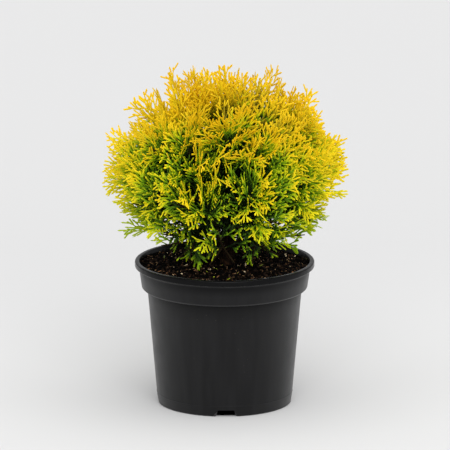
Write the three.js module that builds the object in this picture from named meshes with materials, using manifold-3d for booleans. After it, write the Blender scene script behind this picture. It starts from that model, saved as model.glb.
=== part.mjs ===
// A golden globe arborvitae in a round nursery pot: the pot, its soil, a short stem that forks
// low down, boughs that fan out from the fork, and dense masses of flat toothed sprays.
// Millimetres, +Z up. The origin is the middle of the circle that the pot stands on, and the
// front is at -Y.

import * as THREE from 'three';
import { mergeVertices } from 'three/addons/utils/BufferGeometryUtils.js';
import Module from 'manifold-3d';

const { clamp, degToRad, lerp, mapLinear } = THREE.MathUtils;
const wasm = await Module();
wasm.setup();

// Clearance between pieces that meet, and how near two corners count as one
const GAP = 0.3;
const SAME_CORNER = 1e-4;

// Pot
const POT_HEIGHT = 153;
const RIM_RADIUS = 95;
const LIP_HEIGHT = 6.2;
const LIP_SLOPE_HEIGHT = 5.3;
const LIP_WIDTH = 4.6;
const LIP_EDGE = 0.9;
const COLLAR_HEIGHT = 16.2;
const COLLAR_TOP_RADIUS = 90;
const COLLAR_FOOT_RADIUS = 87.7;
const LEDGE_HEIGHT = 1.8;
const WALL_TOP_RADIUS = 81.7;
const WALL_FOOT_RADIUS = 70.9;
const WALL_THICKNESS = 2;
const FOOT_EDGE = 1;
const FLOOR_UNDERSIDE = 7.6;
const FLOOR_THICKNESS = 2;
const POT_SIDES = 40;

// Notches in the foot, through which water drains
const NOTCH_COUNT = 4;
const NOTCH_HEIGHT = 7;
const NOTCH_FOOT_WIDTH = 25;
const NOTCH_TOP_WIDTH = 15;

// Soil, a little higher round the stem than at the wall
const SOIL_EDGE_HEIGHT = POT_HEIGHT - 5;
const SOIL_MIDDLE_HEIGHT = POT_HEIGHT - 3.6;
const SOIL_FLAT_RADIUS = 13;
const SOIL_BUMP = 0.9;
const SOIL_RINGS = [0.55];

// Stem
const STEM_FOOT_RADIUS = 9.5;
const STEM_NECK_RADIUS = 6.2;
const STEM_TIP_RADIUS = 4.6;
const STEM_FLARE_FADE = 9;
const STEM_LEAN = 2.5;
const STEM_BURIED = 5;
const STEM_BEND_FROM = 0.4;
const STEM_BEND_TO = 0.75;
const STEM_SIDES = 8;
const STEM_STEPS = 5;
const FORK = new THREE.Vector3(0, 0, 180);
const STEM_PAST_FORK = 2;

// The crown is a slightly flattened ball round its own centre, a little fuller than an
// ellipsoid
const CROWN_RADIUS = 124;
const CROWN_HALF_HEIGHT = 107;
const CROWN_CENTRE_HEIGHT = 252;
const CROWN_FULLNESS = 2.3;

// Masses of foliage in rings round the fork. Elevations are in degrees above the horizon,
// and start is how high up the stem the ring's boughs leave it.
const RINGS = [
  { name: 'skirt', count: 8, elevation: 0, start: 156 },
  { name: 'middle', count: 8, elevation: 31, start: 163 },
  { name: 'upper', count: 5, elevation: 60, start: 170 },
  { name: 'top', count: 1, elevation: 90, start: 179 },
];
const RING_WOBBLE = 3.5;
const CELL_MARGIN = 0.3;

// Boughs end, and masses begin, at this share of the way from the fork to the crown's surface
const BOUGH_SHARE = 0.36;
const BOUGH_STAGGER = 3.5;
const BOUGH_FOOT_RADIUS = 2.3;
const BOUGH_TIP_RADIUS = 1.5;
const BOUGH_FLATNESS = 0.5;
const BOUGH_BEND = 0.35;
const BOUGH_SIDES = 5;
const BOUGH_STEPS = 3;

// Core of a mass, as shares of the way from the fork to the crown's surface
const CORE_FROM = 0.42;
const CORE_MIDDLE = 0.56;
const CORE_TO = 0.74;
const CORE_SOIL_CLEARANCE = 6;
const CORE_STEM_CLEARANCE = 14;
const CORE_EVENNESS = 1.3;
const CORE_PROBE_STEP = 1;

// Twigs spread from a hub in the core, each aimed within a cone round the mass's direction
const TWIG_COUNT = 4;
const TWIG_FROM = 0.46;
const TWIG_TO = 0.84;
const TWIG_SPREAD = 25;
const TWIG_FOOT_RADIUS = 1.5;
const TWIG_TIP_RADIUS = 0.8;
const TWIG_SIDES = 3;
const TWIG_SHORTENING = 0.1;

// Sprays, as toothed blades that leave a twig and end at the crown's surface
const SPRAY_COUNT = 240;
const SPRAY_SUNK = 3;
const SPRAY_SLANT = 1.1;
const SPRAY_FIRST = 0.3;
const SPRAY_LAST = 0.92;
const SPRAY_WIDTH_SHARE = 0.4;
const SPRAY_THICKNESS_SHARE = 0.06;
const SPRAY_SOIL_CLEARANCE = 1.5;
const SPRAY_LEAST_WIDTH = 0.5;
const SPRAY_TURN = 0.4;
const SPRAY_TRIES = 24;
const TIP_LOW = 0.93;
const TIP_HIGH = 1.05;

const LEAF_GOLD = new THREE.Color(0.78, 0.6, 0.06);
const LEAF_GREEN = new THREE.Color(0.2, 0.34, 0.03);
const potPlastic = new THREE.MeshStandardMaterial({ color: 0x2b2c2c, roughness: 0.55, metalness: 0 });
const soilPeat = new THREE.MeshStandardMaterial({ color: 0x21160f, roughness: 1, metalness: 0 });
const bark = new THREE.MeshStandardMaterial({ color: 0x5a3b25, roughness: 0.9, metalness: 0 });

// Seeds of the streams that set the soil's bumps, the masses' places and the sprays
const SOIL_SEED = 11;
const MASS_SEED = 5;
const SPRAY_SEED = 36;
const STREAM_FACTOR = 16807;
const STREAM_SIZE = 2147483647;
const STREAM_SPREAD = 48271;

const UP = new THREE.Vector3(0, 0, 1);
const SIDEWAYS = new THREE.Vector3(1, 0, 0);
const NEARLY_UPRIGHT = 0.9;
const GOLDEN_ANGLE = Math.PI * (3 - Math.sqrt(5));
const part = new THREE.Group();

// A seeded stream of numbers from 0 to 1
function seeded(seed) {
  let state = (seed * STREAM_SPREAD * STREAM_FACTOR) % STREAM_SIZE;
  return () => {
    state = (state * STREAM_FACTOR) % STREAM_SIZE;
    return state / STREAM_SIZE;
  };
}

function between(random, low, high) {
  return low + (high - low) * random();
}

// A copy of a geometry with one corner wherever several meet
function welded(geometry) {
  const bare = new THREE.BufferGeometry();
  bare.setAttribute('position', geometry.getAttribute('position').clone());
  bare.setIndex(geometry.index);
  return mergeVertices(bare, SAME_CORNER);
}

// A three.js geometry as a solid that can be cut and joined
function toSolid(geometry) {
  const merged = welded(geometry);
  const vertProperties = new Float32Array(merged.getAttribute('position').array);
  const triVerts = new Uint32Array(merged.index.array);
  return new wasm.Manifold(new wasm.Mesh({ numProp: 3, vertProperties, triVerts }));
}

// The largest closed piece of a solid, without loose scraps and sealed hollows
function largestPiece(solid) {
  const pieces = solid.decompose();
  return pieces.reduce((best, piece) => (piece.volume() > best.volume() ? piece : best));
}

function toGeometry(solid) {
  const mesh = solid.getMesh();
  const geometry = new THREE.BufferGeometry();
  geometry.setAttribute('position', new THREE.BufferAttribute(mesh.vertProperties, 3));
  geometry.setIndex(new THREE.BufferAttribute(mesh.triVerts, 1));
  geometry.computeVertexNormals();
  return geometry;
}

function addPiece(name, geometry, material) {
  const mesh = new THREE.Mesh(geometry, material);
  mesh.name = name;
  part.add(mesh);
}

// A closed solid of revolution round the Z axis from [radius, height] pairs, listed from
// the axis underneath, out and up the outside, and back to the axis on top
function turned(profile, sides) {
  const points = profile.map(([radius, height]) => new THREE.Vector2(radius, height));
  return new THREE.LatheGeometry(points, sides).rotateX(Math.PI / 2);
}

// A limb with round ends cut flat: a cylinder whose rings are set along a curve
function limb(curve, radiusAt, sides, steps) {
  const geometry = new THREE.CylinderGeometry(1, 1, 1, sides, steps);
  const position = geometry.getAttribute('position');
  const tangent = new THREE.Vector3();
  const across = new THREE.Vector3();
  const beside = new THREE.Vector3();
  const reference = Math.abs(curve.getTangent(0).z) > NEARLY_UPRIGHT ? SIDEWAYS : UP;
  for (let i = 0; i < position.count; i += 1) {
    const along = clamp(position.getY(i) + 0.5, 0, 1);
    curve.getTangent(along, tangent);
    across.crossVectors(reference, tangent).normalize();
    beside.crossVectors(tangent, across);
    const radius = radiusAt(along);
    const place = curve.getPoint(along);
    place.addScaledVector(across, position.getX(i) * radius);
    place.addScaledVector(beside, -position.getZ(i) * radius);
    position.setXYZ(i, place.x, place.y, place.z);
  }
  return geometry;
}

// Heights that the pot's outer and inner outlines share
const LIP_FOOT = POT_HEIGHT - LIP_HEIGHT;
const COLLAR_TOP = LIP_FOOT - LIP_SLOPE_HEIGHT;
const COLLAR_FOOT = COLLAR_TOP - COLLAR_HEIGHT;
const WALL_TOP = COLLAR_FOOT - LEDGE_HEIGHT;
const INSIDE_LIP_RADIUS = RIM_RADIUS - LIP_WIDTH;

function potOutside() {
  return [
    [WALL_FOOT_RADIUS - FOOT_EDGE, 0],
    [WALL_FOOT_RADIUS, FOOT_EDGE],
    [WALL_TOP_RADIUS, WALL_TOP],
    [COLLAR_FOOT_RADIUS - LEDGE_HEIGHT, WALL_TOP],
    [COLLAR_FOOT_RADIUS, COLLAR_FOOT],
    [COLLAR_TOP_RADIUS, COLLAR_TOP],
    [RIM_RADIUS, LIP_FOOT],
    [RIM_RADIUS, POT_HEIGHT - LIP_EDGE],
    [RIM_RADIUS - LIP_EDGE, POT_HEIGHT],
    [INSIDE_LIP_RADIUS, POT_HEIGHT],
  ];
}

// The inner face from the lip down to the floor, moved in by offset
function potInside(offset) {
  const step = WALL_THICKNESS + offset;
  const wallRadius = mapLinear(FLOOR_UNDERSIDE, 0, WALL_TOP, WALL_FOOT_RADIUS, WALL_TOP_RADIUS);
  return [
    [INSIDE_LIP_RADIUS - offset, POT_HEIGHT],
    [COLLAR_TOP_RADIUS - step, COLLAR_TOP],
    [COLLAR_FOOT_RADIUS - step, COLLAR_FOOT],
    [WALL_TOP_RADIUS - step, WALL_TOP],
    [wallRadius - step, FLOOR_UNDERSIDE + FLOOR_THICKNESS + offset],
  ];
}

// A wedge that cuts one notch through the foot from outside to inside
function notchCutter(turn) {
  const outline = new THREE.Shape([
    new THREE.Vector2(-NOTCH_FOOT_WIDTH / 2, -GAP),
    new THREE.Vector2(NOTCH_FOOT_WIDTH / 2, -GAP),
    new THREE.Vector2(NOTCH_TOP_WIDTH / 2, NOTCH_HEIGHT),
    new THREE.Vector2(-NOTCH_TOP_WIDTH / 2, NOTCH_HEIGHT),
  ]);
  const cutter = new THREE.ExtrudeGeometry(outline, { depth: WALL_FOOT_RADIUS, bevelEnabled: false });
  cutter.rotateX(Math.PI / 2);
  cutter.translate(0, -WALL_FOOT_RADIUS / 2, 0);
  cutter.rotateZ(turn);
  return toSolid(cutter);
}

function makePot() {
  const footInside = WALL_FOOT_RADIUS - FOOT_EDGE - WALL_THICKNESS;
  const profile = [
    [0, FLOOR_UNDERSIDE],
    [footInside, FLOOR_UNDERSIDE],
    [footInside, 0],
    ...potOutside(),
    ...potInside(0).slice(1),
    [0, FLOOR_UNDERSIDE + FLOOR_THICKNESS],
  ];
  let solid = toSolid(turned(profile, POT_SIDES));
  for (let i = 0; i < NOTCH_COUNT; i += 1) {
    solid = solid.subtract(notchCutter((i * 2 * Math.PI) / NOTCH_COUNT));
  }
  addPiece('pot', toGeometry(largestPiece(solid)), potPlastic);
}

// The soil fills the pot. Its top is bumpy, but for a flat round under the stem.
function makeSoil() {
  const [lip, collarTop, collarFoot, wallTop, wallFoot] = potInside(GAP);
  const edgeRadius = mapLinear(SOIL_EDGE_HEIGHT, collarTop[1], lip[1], collarTop[0], lip[0]);
  const slope = (SOIL_EDGE_HEIGHT + SOIL_MIDDLE_HEIGHT) / 2;
  const profile = [
    [0, wallFoot[1]],
    wallFoot,
    wallTop,
    collarFoot,
    collarTop,
    [edgeRadius, SOIL_EDGE_HEIGHT],
    ...SOIL_RINGS.map((share) => [share * edgeRadius, slope]),
    [SOIL_FLAT_RADIUS, SOIL_MIDDLE_HEIGHT],
    [0, SOIL_MIDDLE_HEIGHT],
  ];
  const geometry = welded(turned(profile, POT_SIDES));
  const position = geometry.getAttribute('position');
  const random = seeded(SOIL_SEED);
  for (let i = 0; i < position.count; i += 1) {
    if (Math.abs(position.getZ(i) - slope) < SAME_CORNER) {
      position.setZ(i, slope + between(random, -SOIL_BUMP, SOIL_BUMP));
    }
  }
  geometry.computeVertexNormals();
  addPiece('soil', geometry, soilPeat);
}

// The line of the stem, which leans a little, from under the soil to just over the fork
function stemLine(extra) {
  return new THREE.CatmullRomCurve3([
    new THREE.Vector3(STEM_LEAN, 0, SOIL_MIDDLE_HEIGHT - STEM_BURIED),
    new THREE.Vector3(STEM_LEAN / 2, 0, lerp(SOIL_MIDDLE_HEIGHT, FORK.z, STEM_BEND_FROM)),
    new THREE.Vector3(0, 0, lerp(SOIL_MIDDLE_HEIGHT, FORK.z, STEM_BEND_TO)),
    new THREE.Vector3(0, 0, FORK.z + STEM_PAST_FORK + extra),
  ]);
}

function stemRadiusAt(along) {
  const flare = (STEM_FOOT_RADIUS - STEM_NECK_RADIUS) * Math.exp(-along * STEM_FLARE_FADE);
  return lerp(STEM_NECK_RADIUS, STEM_TIP_RADIUS, along) + flare;
}

// The stem, larger by extra, cut flat just over the soil
function stemSolid(extra) {
  const radiusAt = (along) => stemRadiusAt(along) + extra;
  const whole = toSolid(limb(stemLine(extra), radiusAt, STEM_SIDES, STEM_STEPS));
  const ground = new THREE.BoxGeometry(2 * RIM_RADIUS, 2 * RIM_RADIUS, 2 * STEM_BURIED);
  ground.translate(0, 0, SOIL_MIDDLE_HEIGHT + GAP - STEM_BURIED);
  return whole.subtract(toSolid(ground));
}

// Below 1 inside the crown, 1 at its surface
function crownLevel(point) {
  const out = Math.hypot(point.x, point.y) / CROWN_RADIUS;
  const up = Math.abs(point.z - CROWN_CENTRE_HEIGHT) / CROWN_HALF_HEIGHT;
  return out ** CROWN_FULLNESS + up ** CROWN_FULLNESS;
}

// Distance from the fork to the crown's surface along a unit direction
function reachAlong(direction) {
  let inside = 0;
  let outside = 2 * (CROWN_RADIUS + CROWN_HALF_HEIGHT);
  while (outside - inside > SAME_CORNER) {
    const middle = (inside + outside) / 2;
    if (crownLevel(FORK.clone().addScaledVector(direction, middle)) < 1) {
      inside = middle;
    } else {
      outside = middle;
    }
  }
  return inside;
}

function directionOf(azimuth, elevation) {
  const a = degToRad(azimuth);
  const e = degToRad(elevation);
  return new THREE.Vector3(Math.cos(e) * Math.cos(a), Math.cos(e) * Math.sin(a), Math.sin(e));
}

// One entry for each mass: its name, direction from the fork and the height its bough leaves at
function layOutMasses() {
  const random = seeded(MASS_SEED);
  const masses = [];
  RINGS.forEach((ring, ringIndex) => {
    for (let i = 0; i < ring.count; i += 1) {
      const wobble = ring.count > 1 ? RING_WOBBLE : 0;
      const place = (i + (ringIndex % 2) / 2) / ring.count;
      const azimuth = place * 360 + between(random, -wobble, wobble);
      const elevation = ring.elevation + between(random, -wobble, wobble);
      const direction = directionOf(azimuth, elevation);
      const name = `${ring.name}_${i + 1}`;
      const start = ring.start + (i % 2 ? BOUGH_STAGGER : 0);
      masses.push({ name, direction, reach: reachAlong(direction), start });
    }
  });
  for (const mass of masses) {
    mass.walls = masses
      .filter((other) => other !== mass)
      .map((other) => mass.direction.clone().sub(other.direction).normalize());
  }
  return masses;
}

// How far a point lies inside a mass's own cell, which widens outwards from the fork
function depthInCell(mass, point) {
  const fromFork = point.clone().sub(FORK);
  return Math.min(...mass.walls.map((wall) => wall.dot(fromFork)));
}

// The mass whose cell holds a point
function massAt(masses, point) {
  return masses.find((mass) => depthInCell(mass, point) >= 0);
}

function onAxis(mass, share) {
  return FORK.clone().addScaledVector(mass.direction, share * mass.reach);
}

// A bough starts under the stem's bark, which then cuts it clear, and bends to come in line
// with its mass
function boughSolid(mass, stemCutter) {
  const start = new THREE.Vector3(0, 0, mass.start);
  const end = onAxis(mass, BOUGH_SHARE);
  const run = end.distanceTo(start);
  const leaving = mass.direction.clone().setZ(mass.direction.z * BOUGH_FLATNESS).normalize();
  const line = new THREE.CubicBezierCurve3(
    start,
    start.clone().addScaledVector(leaving, run * BOUGH_BEND),
    end.clone().addScaledVector(mass.direction, -run * BOUGH_BEND),
    end,
  );
  const radiusAt = (along) => lerp(BOUGH_FOOT_RADIUS, BOUGH_TIP_RADIUS, along);
  return largestPiece(toSolid(limb(line, radiusAt, BOUGH_SIDES, BOUGH_STEPS)).subtract(stemCutter));
}

// True where a mass's twigs and sprays may be: in its cell, off the soil and clear of the stem
function mayFill(mass, point, margin) {
  return point.z > SOIL_MIDDLE_HEIGHT + SPRAY_SOIL_CLEARANCE
    && (point.z > FORK.z || Math.hypot(point.x, point.y) > CORE_STEM_CLEARANCE)
    && depthInCell(mass, point) > margin;
}

// True where a mass's core may be, which also keeps between its inner and outer limits
function coreMayFill(mass, point) {
  const fromFork = point.clone().sub(FORK);
  const distance = fromFork.length();
  const share = distance / reachAlong(fromFork.divideScalar(distance));
  return share > CORE_FROM
    && share < CORE_TO
    && point.z > SOIL_MIDDLE_HEIGHT + CORE_SOIL_CLEARANCE
    && mayFill(mass, point, CELL_MARGIN);
}

// A core is a coarse ball whose corners are pushed out from the middle of the mass until they
// come near the edge of what it may fill
function coreSolid(mass) {
  const middle = onAxis(mass, CORE_MIDDLE);
  const geometry = new THREE.OctahedronGeometry(1, 1);
  const position = geometry.getAttribute('position');
  const lengthAlong = (way) => {
    let length = 0;
    const probe = middle.clone();
    while (length < mass.reach && coreMayFill(mass, probe)) {
      length += CORE_PROBE_STEP;
      probe.addScaledVector(way, CORE_PROBE_STEP);
    }
    return Math.max(length - CORE_PROBE_STEP, CORE_PROBE_STEP);
  };
  const ways = [];
  for (let i = 0; i < position.count; i += 1) {
    ways.push(new THREE.Vector3().fromBufferAttribute(position, i).normalize());
  }
  const lengths = ways.map(lengthAlong);
  const usual = [...lengths].sort((a, b) => a - b)[Math.floor(lengths.length / 2)];
  ways.forEach((way, i) => {
    const corner = middle.clone().addScaledVector(way, Math.min(lengths[i], usual * CORE_EVENNESS));
    position.setXYZ(i, corner.x, corner.y, corner.z);
  });
  return toSolid(geometry);
}

// The stalk of a mass runs on from the bough's tip into the core
function stalkSolid(mass) {
  const start = onAxis(mass, BOUGH_SHARE).addScaledVector(mass.direction, GAP);
  const line = new THREE.LineCurve3(start, onAxis(mass, CORE_MIDDLE));
  return toSolid(limb(line, () => BOUGH_TIP_RADIUS, BOUGH_SIDES, 1));
}

// The twigs of a mass, from its hub to points spread evenly over a cone round its direction
function growTwigs(mass) {
  const hub = onAxis(mass, TWIG_FROM);
  const across = SIDEWAYS.clone().cross(mass.direction).normalize();
  return Array.from({ length: TWIG_COUNT }, (_, i) => {
    const spread = degToRad(TWIG_SPREAD) * Math.sqrt((i + 0.5) / TWIG_COUNT);
    const aim = mass.direction.clone()
      .applyAxisAngle(across, spread)
      .applyAxisAngle(mass.direction, i * GOLDEN_ANGLE);
    const end = FORK.clone().addScaledVector(aim, TWIG_TO * reachAlong(aim));
    while (!mayFill(mass, end, TWIG_FOOT_RADIUS)) {
      end.lerp(hub, TWIG_SHORTENING);
    }
    return new THREE.Line3(hub.clone(), end);
  });
}

function twigSolid(twig) {
  const line = new THREE.LineCurve3(twig.start, twig.end);
  const radiusAt = (along) => lerp(TWIG_FOOT_RADIUS, TWIG_TIP_RADIUS, along);
  return toSolid(limb(line, radiusAt, TWIG_SIDES, 1));
}

// Outline of a spray, as shares of its length and half width, from root to tip and back. The
// teeth on the two sides alternate, as the side shoots of the spray do.
const SPRAY_SIDE = [[0, 0.1], [0.4, 0.85], [0.48, 0.32], [0.7, 1], [0.74, 0.34]];
const SPRAY_SHIFT = 0.08;
const SPRAY_RIDGE = 0.5;

function sprayOutline() {
  const near = SPRAY_SIDE.map(([along, out]) => [along, -out]);
  const far = SPRAY_SIDE.map(([along, out]) => [along + Math.min(along, SPRAY_SHIFT), out]);
  return [...near, [1, 0], ...far.reverse()];
}

const OUTLINE = sprayOutline();

// A spray's corners in space: the outline in order, then the ridge on each face
function sprayCorners(spray) {
  const place = (along, out, lift) => spray.root.clone()
    .addScaledVector(spray.axis, along * spray.length)
    .addScaledVector(spray.side, out * spray.halfWidth)
    .addScaledVector(spray.face, lift);
  const ridge = (spray.length * SPRAY_THICKNESS_SHARE) / 2;
  return [
    ...OUTLINE.map(([along, out]) => place(along, out, 0)),
    place(SPRAY_RIDGE, 0, ridge),
    place(SPRAY_RIDGE, 0, -ridge),
  ];
}

// A spray is a sphere of two bands: its equator becomes the outline and its poles the ridge
function spraySolid(corners) {
  const count = OUTLINE.length;
  const geometry = new THREE.SphereGeometry(1, count, 2);
  const position = geometry.getAttribute('position');
  for (let i = 0; i < position.count; i += 1) {
    const height = position.getY(i);
    const turn = Math.atan2(position.getZ(i), -position.getX(i));
    const step = (Math.round((turn / (2 * Math.PI)) * count) + count) % count;
    const pole = height > 0 ? count : count + 1;
    const corner = corners[Math.round(Math.abs(height)) ? pole : step];
    position.setXYZ(i, corner.x, corner.y, corner.z);
  }
  return toSolid(geometry);
}

// Points spread evenly over the crown, from its top to where it closes in over the soil
function crownPoints(count) {
  const floor = SOIL_MIDDLE_HEIGHT + SPRAY_SOIL_CLEARANCE;
  const lowest = (floor - CROWN_CENTRE_HEIGHT) / CROWN_HALF_HEIGHT;
  return Array.from({ length: count }, (_, i) => {
    const height = 1 - ((i + 0.5) / count) * (1 - lowest);
    const radius = (1 - Math.abs(height) ** CROWN_FULLNESS) ** (1 / CROWN_FULLNESS);
    const angle = i * GOLDEN_ANGLE;
    return new THREE.Vector3(
      CROWN_RADIUS * radius * Math.cos(angle),
      CROWN_RADIUS * radius * Math.sin(angle),
      CROWN_CENTRE_HEIGHT + CROWN_HALF_HEIGHT * height,
    );
  });
}

// The twig that ends nearest to a point
function nearestTwig(twigs, point) {
  const distances = twigs.map((twig) => twig.end.distanceTo(point));
  return twigs[distances.indexOf(Math.min(...distances))];
}

// Where a spray leaves its twig, so that it slants forwards to its tip
function sprayRoot(twig, tip) {
  const beside = twig.closestPointToPoint(tip, true, new THREE.Vector3());
  const back = (tip.distanceTo(beside) * SPRAY_SLANT) / twig.distance();
  const along = twig.closestPointToPointParameter(tip, true) - back;
  return twig.at(clamp(along, SPRAY_FIRST, SPRAY_LAST), new THREE.Vector3());
}

// A spray from a twig to its tip near a point of the crown's surface. It is turned and
// narrowed until it keeps to the mass's cell, or is skipped.
function growSpray(mass, point, random) {
  const tip = FORK.clone().lerp(point, between(random, TIP_LOW, TIP_HIGH));
  const start = sprayRoot(nearestTwig(mass.twigs, tip), tip);
  const axis = tip.clone().sub(start).normalize();
  const root = start.clone().addScaledVector(axis, -SPRAY_SUNK);
  const length = tip.distanceTo(root);
  const reference = Math.abs(axis.z) > NEARLY_UPRIGHT ? SIDEWAYS : UP;
  const level = new THREE.Vector3().crossVectors(axis, reference).normalize();
  for (let attempt = 0; attempt < SPRAY_TRIES; attempt += 1) {
    const share = attempt / SPRAY_TRIES;
    const turn = between(random, -1, 1) * lerp(SPRAY_TURN, Math.PI / 2, share);
    const face = level.clone().applyAxisAngle(axis, turn);
    const side = new THREE.Vector3().crossVectors(face, axis);
    const narrowing = lerp(1, SPRAY_LEAST_WIDTH, share);
    const halfWidth = (length * SPRAY_WIDTH_SHARE * narrowing) / 2;
    const corners = sprayCorners({ root, axis, side, face, length, halfWidth });
    if (corners.every((corner) => mayFill(mass, corner, CELL_MARGIN))) {
      return spraySolid(corners);
    }
  }
  return null;
}

// Green low down, and gold from half the crown's height upwards
function leafMaterial(mass) {
  const height = (onAxis(mass, 1).z - SOIL_MIDDLE_HEIGHT) / CROWN_HALF_HEIGHT;
  const color = LEAF_GREEN.clone().lerp(LEAF_GOLD, clamp(height, 0, 1));
  return new THREE.MeshStandardMaterial({ color, roughness: 0.7, metalness: 0 });
}

function makePlant() {
  addPiece('stem', toGeometry(stemSolid(0)), bark);
  const stemCutter = stemSolid(GAP);
  const masses = layOutMasses();
  const random = seeded(SPRAY_SEED);
  for (const mass of masses) {
    mass.twigs = growTwigs(mass);
    mass.solids = [stalkSolid(mass), coreSolid(mass), ...mass.twigs.map(twigSolid)];
  }
  for (const point of crownPoints(SPRAY_COUNT)) {
    const mass = massAt(masses, point);
    const spray = growSpray(mass, point, random);
    if (spray) {
      mass.solids.push(spray);
    }
  }
  for (const mass of masses) {
    addPiece(`bough_${mass.name}`, toGeometry(boughSolid(mass, stemCutter)), bark);
    const joined = largestPiece(wasm.Manifold.union(mass.solids));
    addPiece(`foliage_${mass.name}`, toGeometry(joined), leafMaterial(mass));
  }
}

makePot();
makeSoil();
makePlant();

export default part;
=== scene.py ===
# A golden globe arborvitae in a round black nursery pot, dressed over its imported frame.
# Sizes are in millimetres here, and every mesh is scaled to metres when it is finished.
# +Z is up, the front is at -Y, and the origin is the middle of the pot's foot.

import math
import random

import bmesh
import bpy
import numpy as np
from mathutils import Matrix, Quaternion, Vector, noise


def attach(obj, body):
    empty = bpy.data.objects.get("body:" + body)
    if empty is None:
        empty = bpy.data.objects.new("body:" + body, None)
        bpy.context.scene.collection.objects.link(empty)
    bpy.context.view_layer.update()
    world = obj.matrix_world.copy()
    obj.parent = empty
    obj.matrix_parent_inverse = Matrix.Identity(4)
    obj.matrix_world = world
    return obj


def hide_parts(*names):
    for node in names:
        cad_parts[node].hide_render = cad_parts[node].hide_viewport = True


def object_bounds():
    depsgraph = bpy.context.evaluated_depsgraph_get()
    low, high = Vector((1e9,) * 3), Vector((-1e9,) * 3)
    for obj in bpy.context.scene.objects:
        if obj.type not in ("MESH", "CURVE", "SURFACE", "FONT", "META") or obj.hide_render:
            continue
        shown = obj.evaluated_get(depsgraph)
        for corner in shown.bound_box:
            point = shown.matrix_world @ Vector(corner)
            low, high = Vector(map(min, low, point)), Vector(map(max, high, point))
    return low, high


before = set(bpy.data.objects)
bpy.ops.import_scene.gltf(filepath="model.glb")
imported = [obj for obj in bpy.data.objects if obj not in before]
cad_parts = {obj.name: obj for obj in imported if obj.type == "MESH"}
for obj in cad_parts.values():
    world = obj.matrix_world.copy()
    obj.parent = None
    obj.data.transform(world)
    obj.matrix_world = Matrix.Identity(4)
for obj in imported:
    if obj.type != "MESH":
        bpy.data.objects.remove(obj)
cad_low, cad_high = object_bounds()

MM = 0.001
UP = Vector((0, 0, 1))
SIDEWAYS = Vector((1, 0, 0))
FRONT = Vector((0, -1, 0))
NEARLY_UPRIGHT = 0.9
GOLDEN_ANGLE = math.pi * (3 - math.sqrt(5))
NO_BEND = Vector((0, 0, 0))


def places(*rows):
    """Points from rows of x, y and z."""
    return [Vector(row) for row in rows]


# Pot, from the frame's own sizes
POT_HEIGHT = 153
RIM_RADIUS = 95
LIP_HEIGHT = 6.2
LIP_SLOPE_HEIGHT = 5.3
LIP_WIDTH = 4.6
LIP_EDGE = 0.9
LIP_ROUNDING = 0.7
LIP_UNDERCUT = ((94.3, 146.8), (91.8, 146.1), (90.5, 144.4))
COLLAR_HEIGHT = 16.2
COLLAR_TOP_RADIUS = 90
COLLAR_FOOT_RADIUS = 87.7
LEDGE_HEIGHT = 1.8
WALL_TOP_RADIUS = 81.7
WALL_FOOT_RADIUS = 70.9
WALL_THICKNESS = 2
FOOT_EDGE = 1
FLOOR_UNDERSIDE = 7.6
FLOOR_THICKNESS = 2
POT_SIDES = 128
TURNED_MERGE = 0.001
POT_ROUNDING = 0.4
ROUNDING_STEPS = 3
ROUNDED_EDGE = math.radians(14)
CREASED_EDGE = math.radians(35)
LEVEL_WITHIN = 0.01
OFF_AXIS = 1
MOULD_LINE_HEIGHT = 11.5
MOULD_LINE_WIDTH = 0.9
MOULD_LINE_RISE = 0.3

# Notches in the foot, narrower inside than outside
NOTCH_COUNT = 4
NOTCH_HEIGHT = 7
NOTCH_FOOT_WIDTH = 31
NOTCH_TOP_WIDTH = 16.5
NOTCH_INNER_FOOT_WIDTH = 20.5
NOTCH_TURN = math.radians(1.4)
NOTCH_CUT = 0.3
NOTCH_REACH = 4
NOTCH_DEPTH = 5.4
NOTCH_OVERLAP = 1

# A ring under the pot's floor, behind the notches, that keeps the light out of them
RIB_RADIUS = 65.2
RIB_WIDTH = 2
RIB_LIFT = 0.4

# How far down, in metres, shade is painted onto the pot under the lip and the ledge
LIP_SHADE = 0.007
LEDGE_SHADE = 0.02
SHADE_EDGE = 0.0001

# Soil
SOIL_EDGE_HEIGHT = 148
SOIL_MIDDLE_HEIGHT = 149.4
SOIL_GAP = 0.3
SOIL_SIDES = 200
SOIL_RINGS = 64
SOIL_LUMP = 2
SOIL_GRAIN = 0.7
SOIL_LUMP_SIZE = 7
SOIL_GRAIN_SIZE = 2.4
SOIL_DIP = 2.2
SOIL_DIP_WAY = (0.75, 0.66)
SOIL_OCTAVES = 3
SOIL_SKIN = 0.5

# Stem
STEM_FOOT_RADIUS = 9.5
STEM_NECK_RADIUS = 6.2
STEM_TIP_RADIUS = 4.6
STEM_FLARE_FADE = 9
STEM_LEAN = 2.5
STEM_STEPS = 26
FORK = Vector((0, 0, 180))
STEM_PAST_FORK = 2
STEM_BURIED = 1

# Bark of the limbs: its plates' height, size and length, and its noise
LIMB_ROUNDNESS = 6
BARK_DEPTH = 0.55
BARK_SIZE = 3.4
BARK_STRETCH = 0.3
BARK_NOISE = (1.0, 2.0, 3)

# The globe of foliage, a slightly flattened ball a little fuller than an ellipsoid
GLOBE_RADIUS = 124
GLOBE_HALF_HEIGHT = 107
GLOBE_CENTRE_HEIGHT = 252
GLOBE_FULLNESS = 2.3
BEYOND_GLOBE = 2 * (GLOBE_RADIUS + GLOBE_HALF_HEIGHT)
REACH_WITHIN = 0.001
REACH_STEPS = 18

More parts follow.
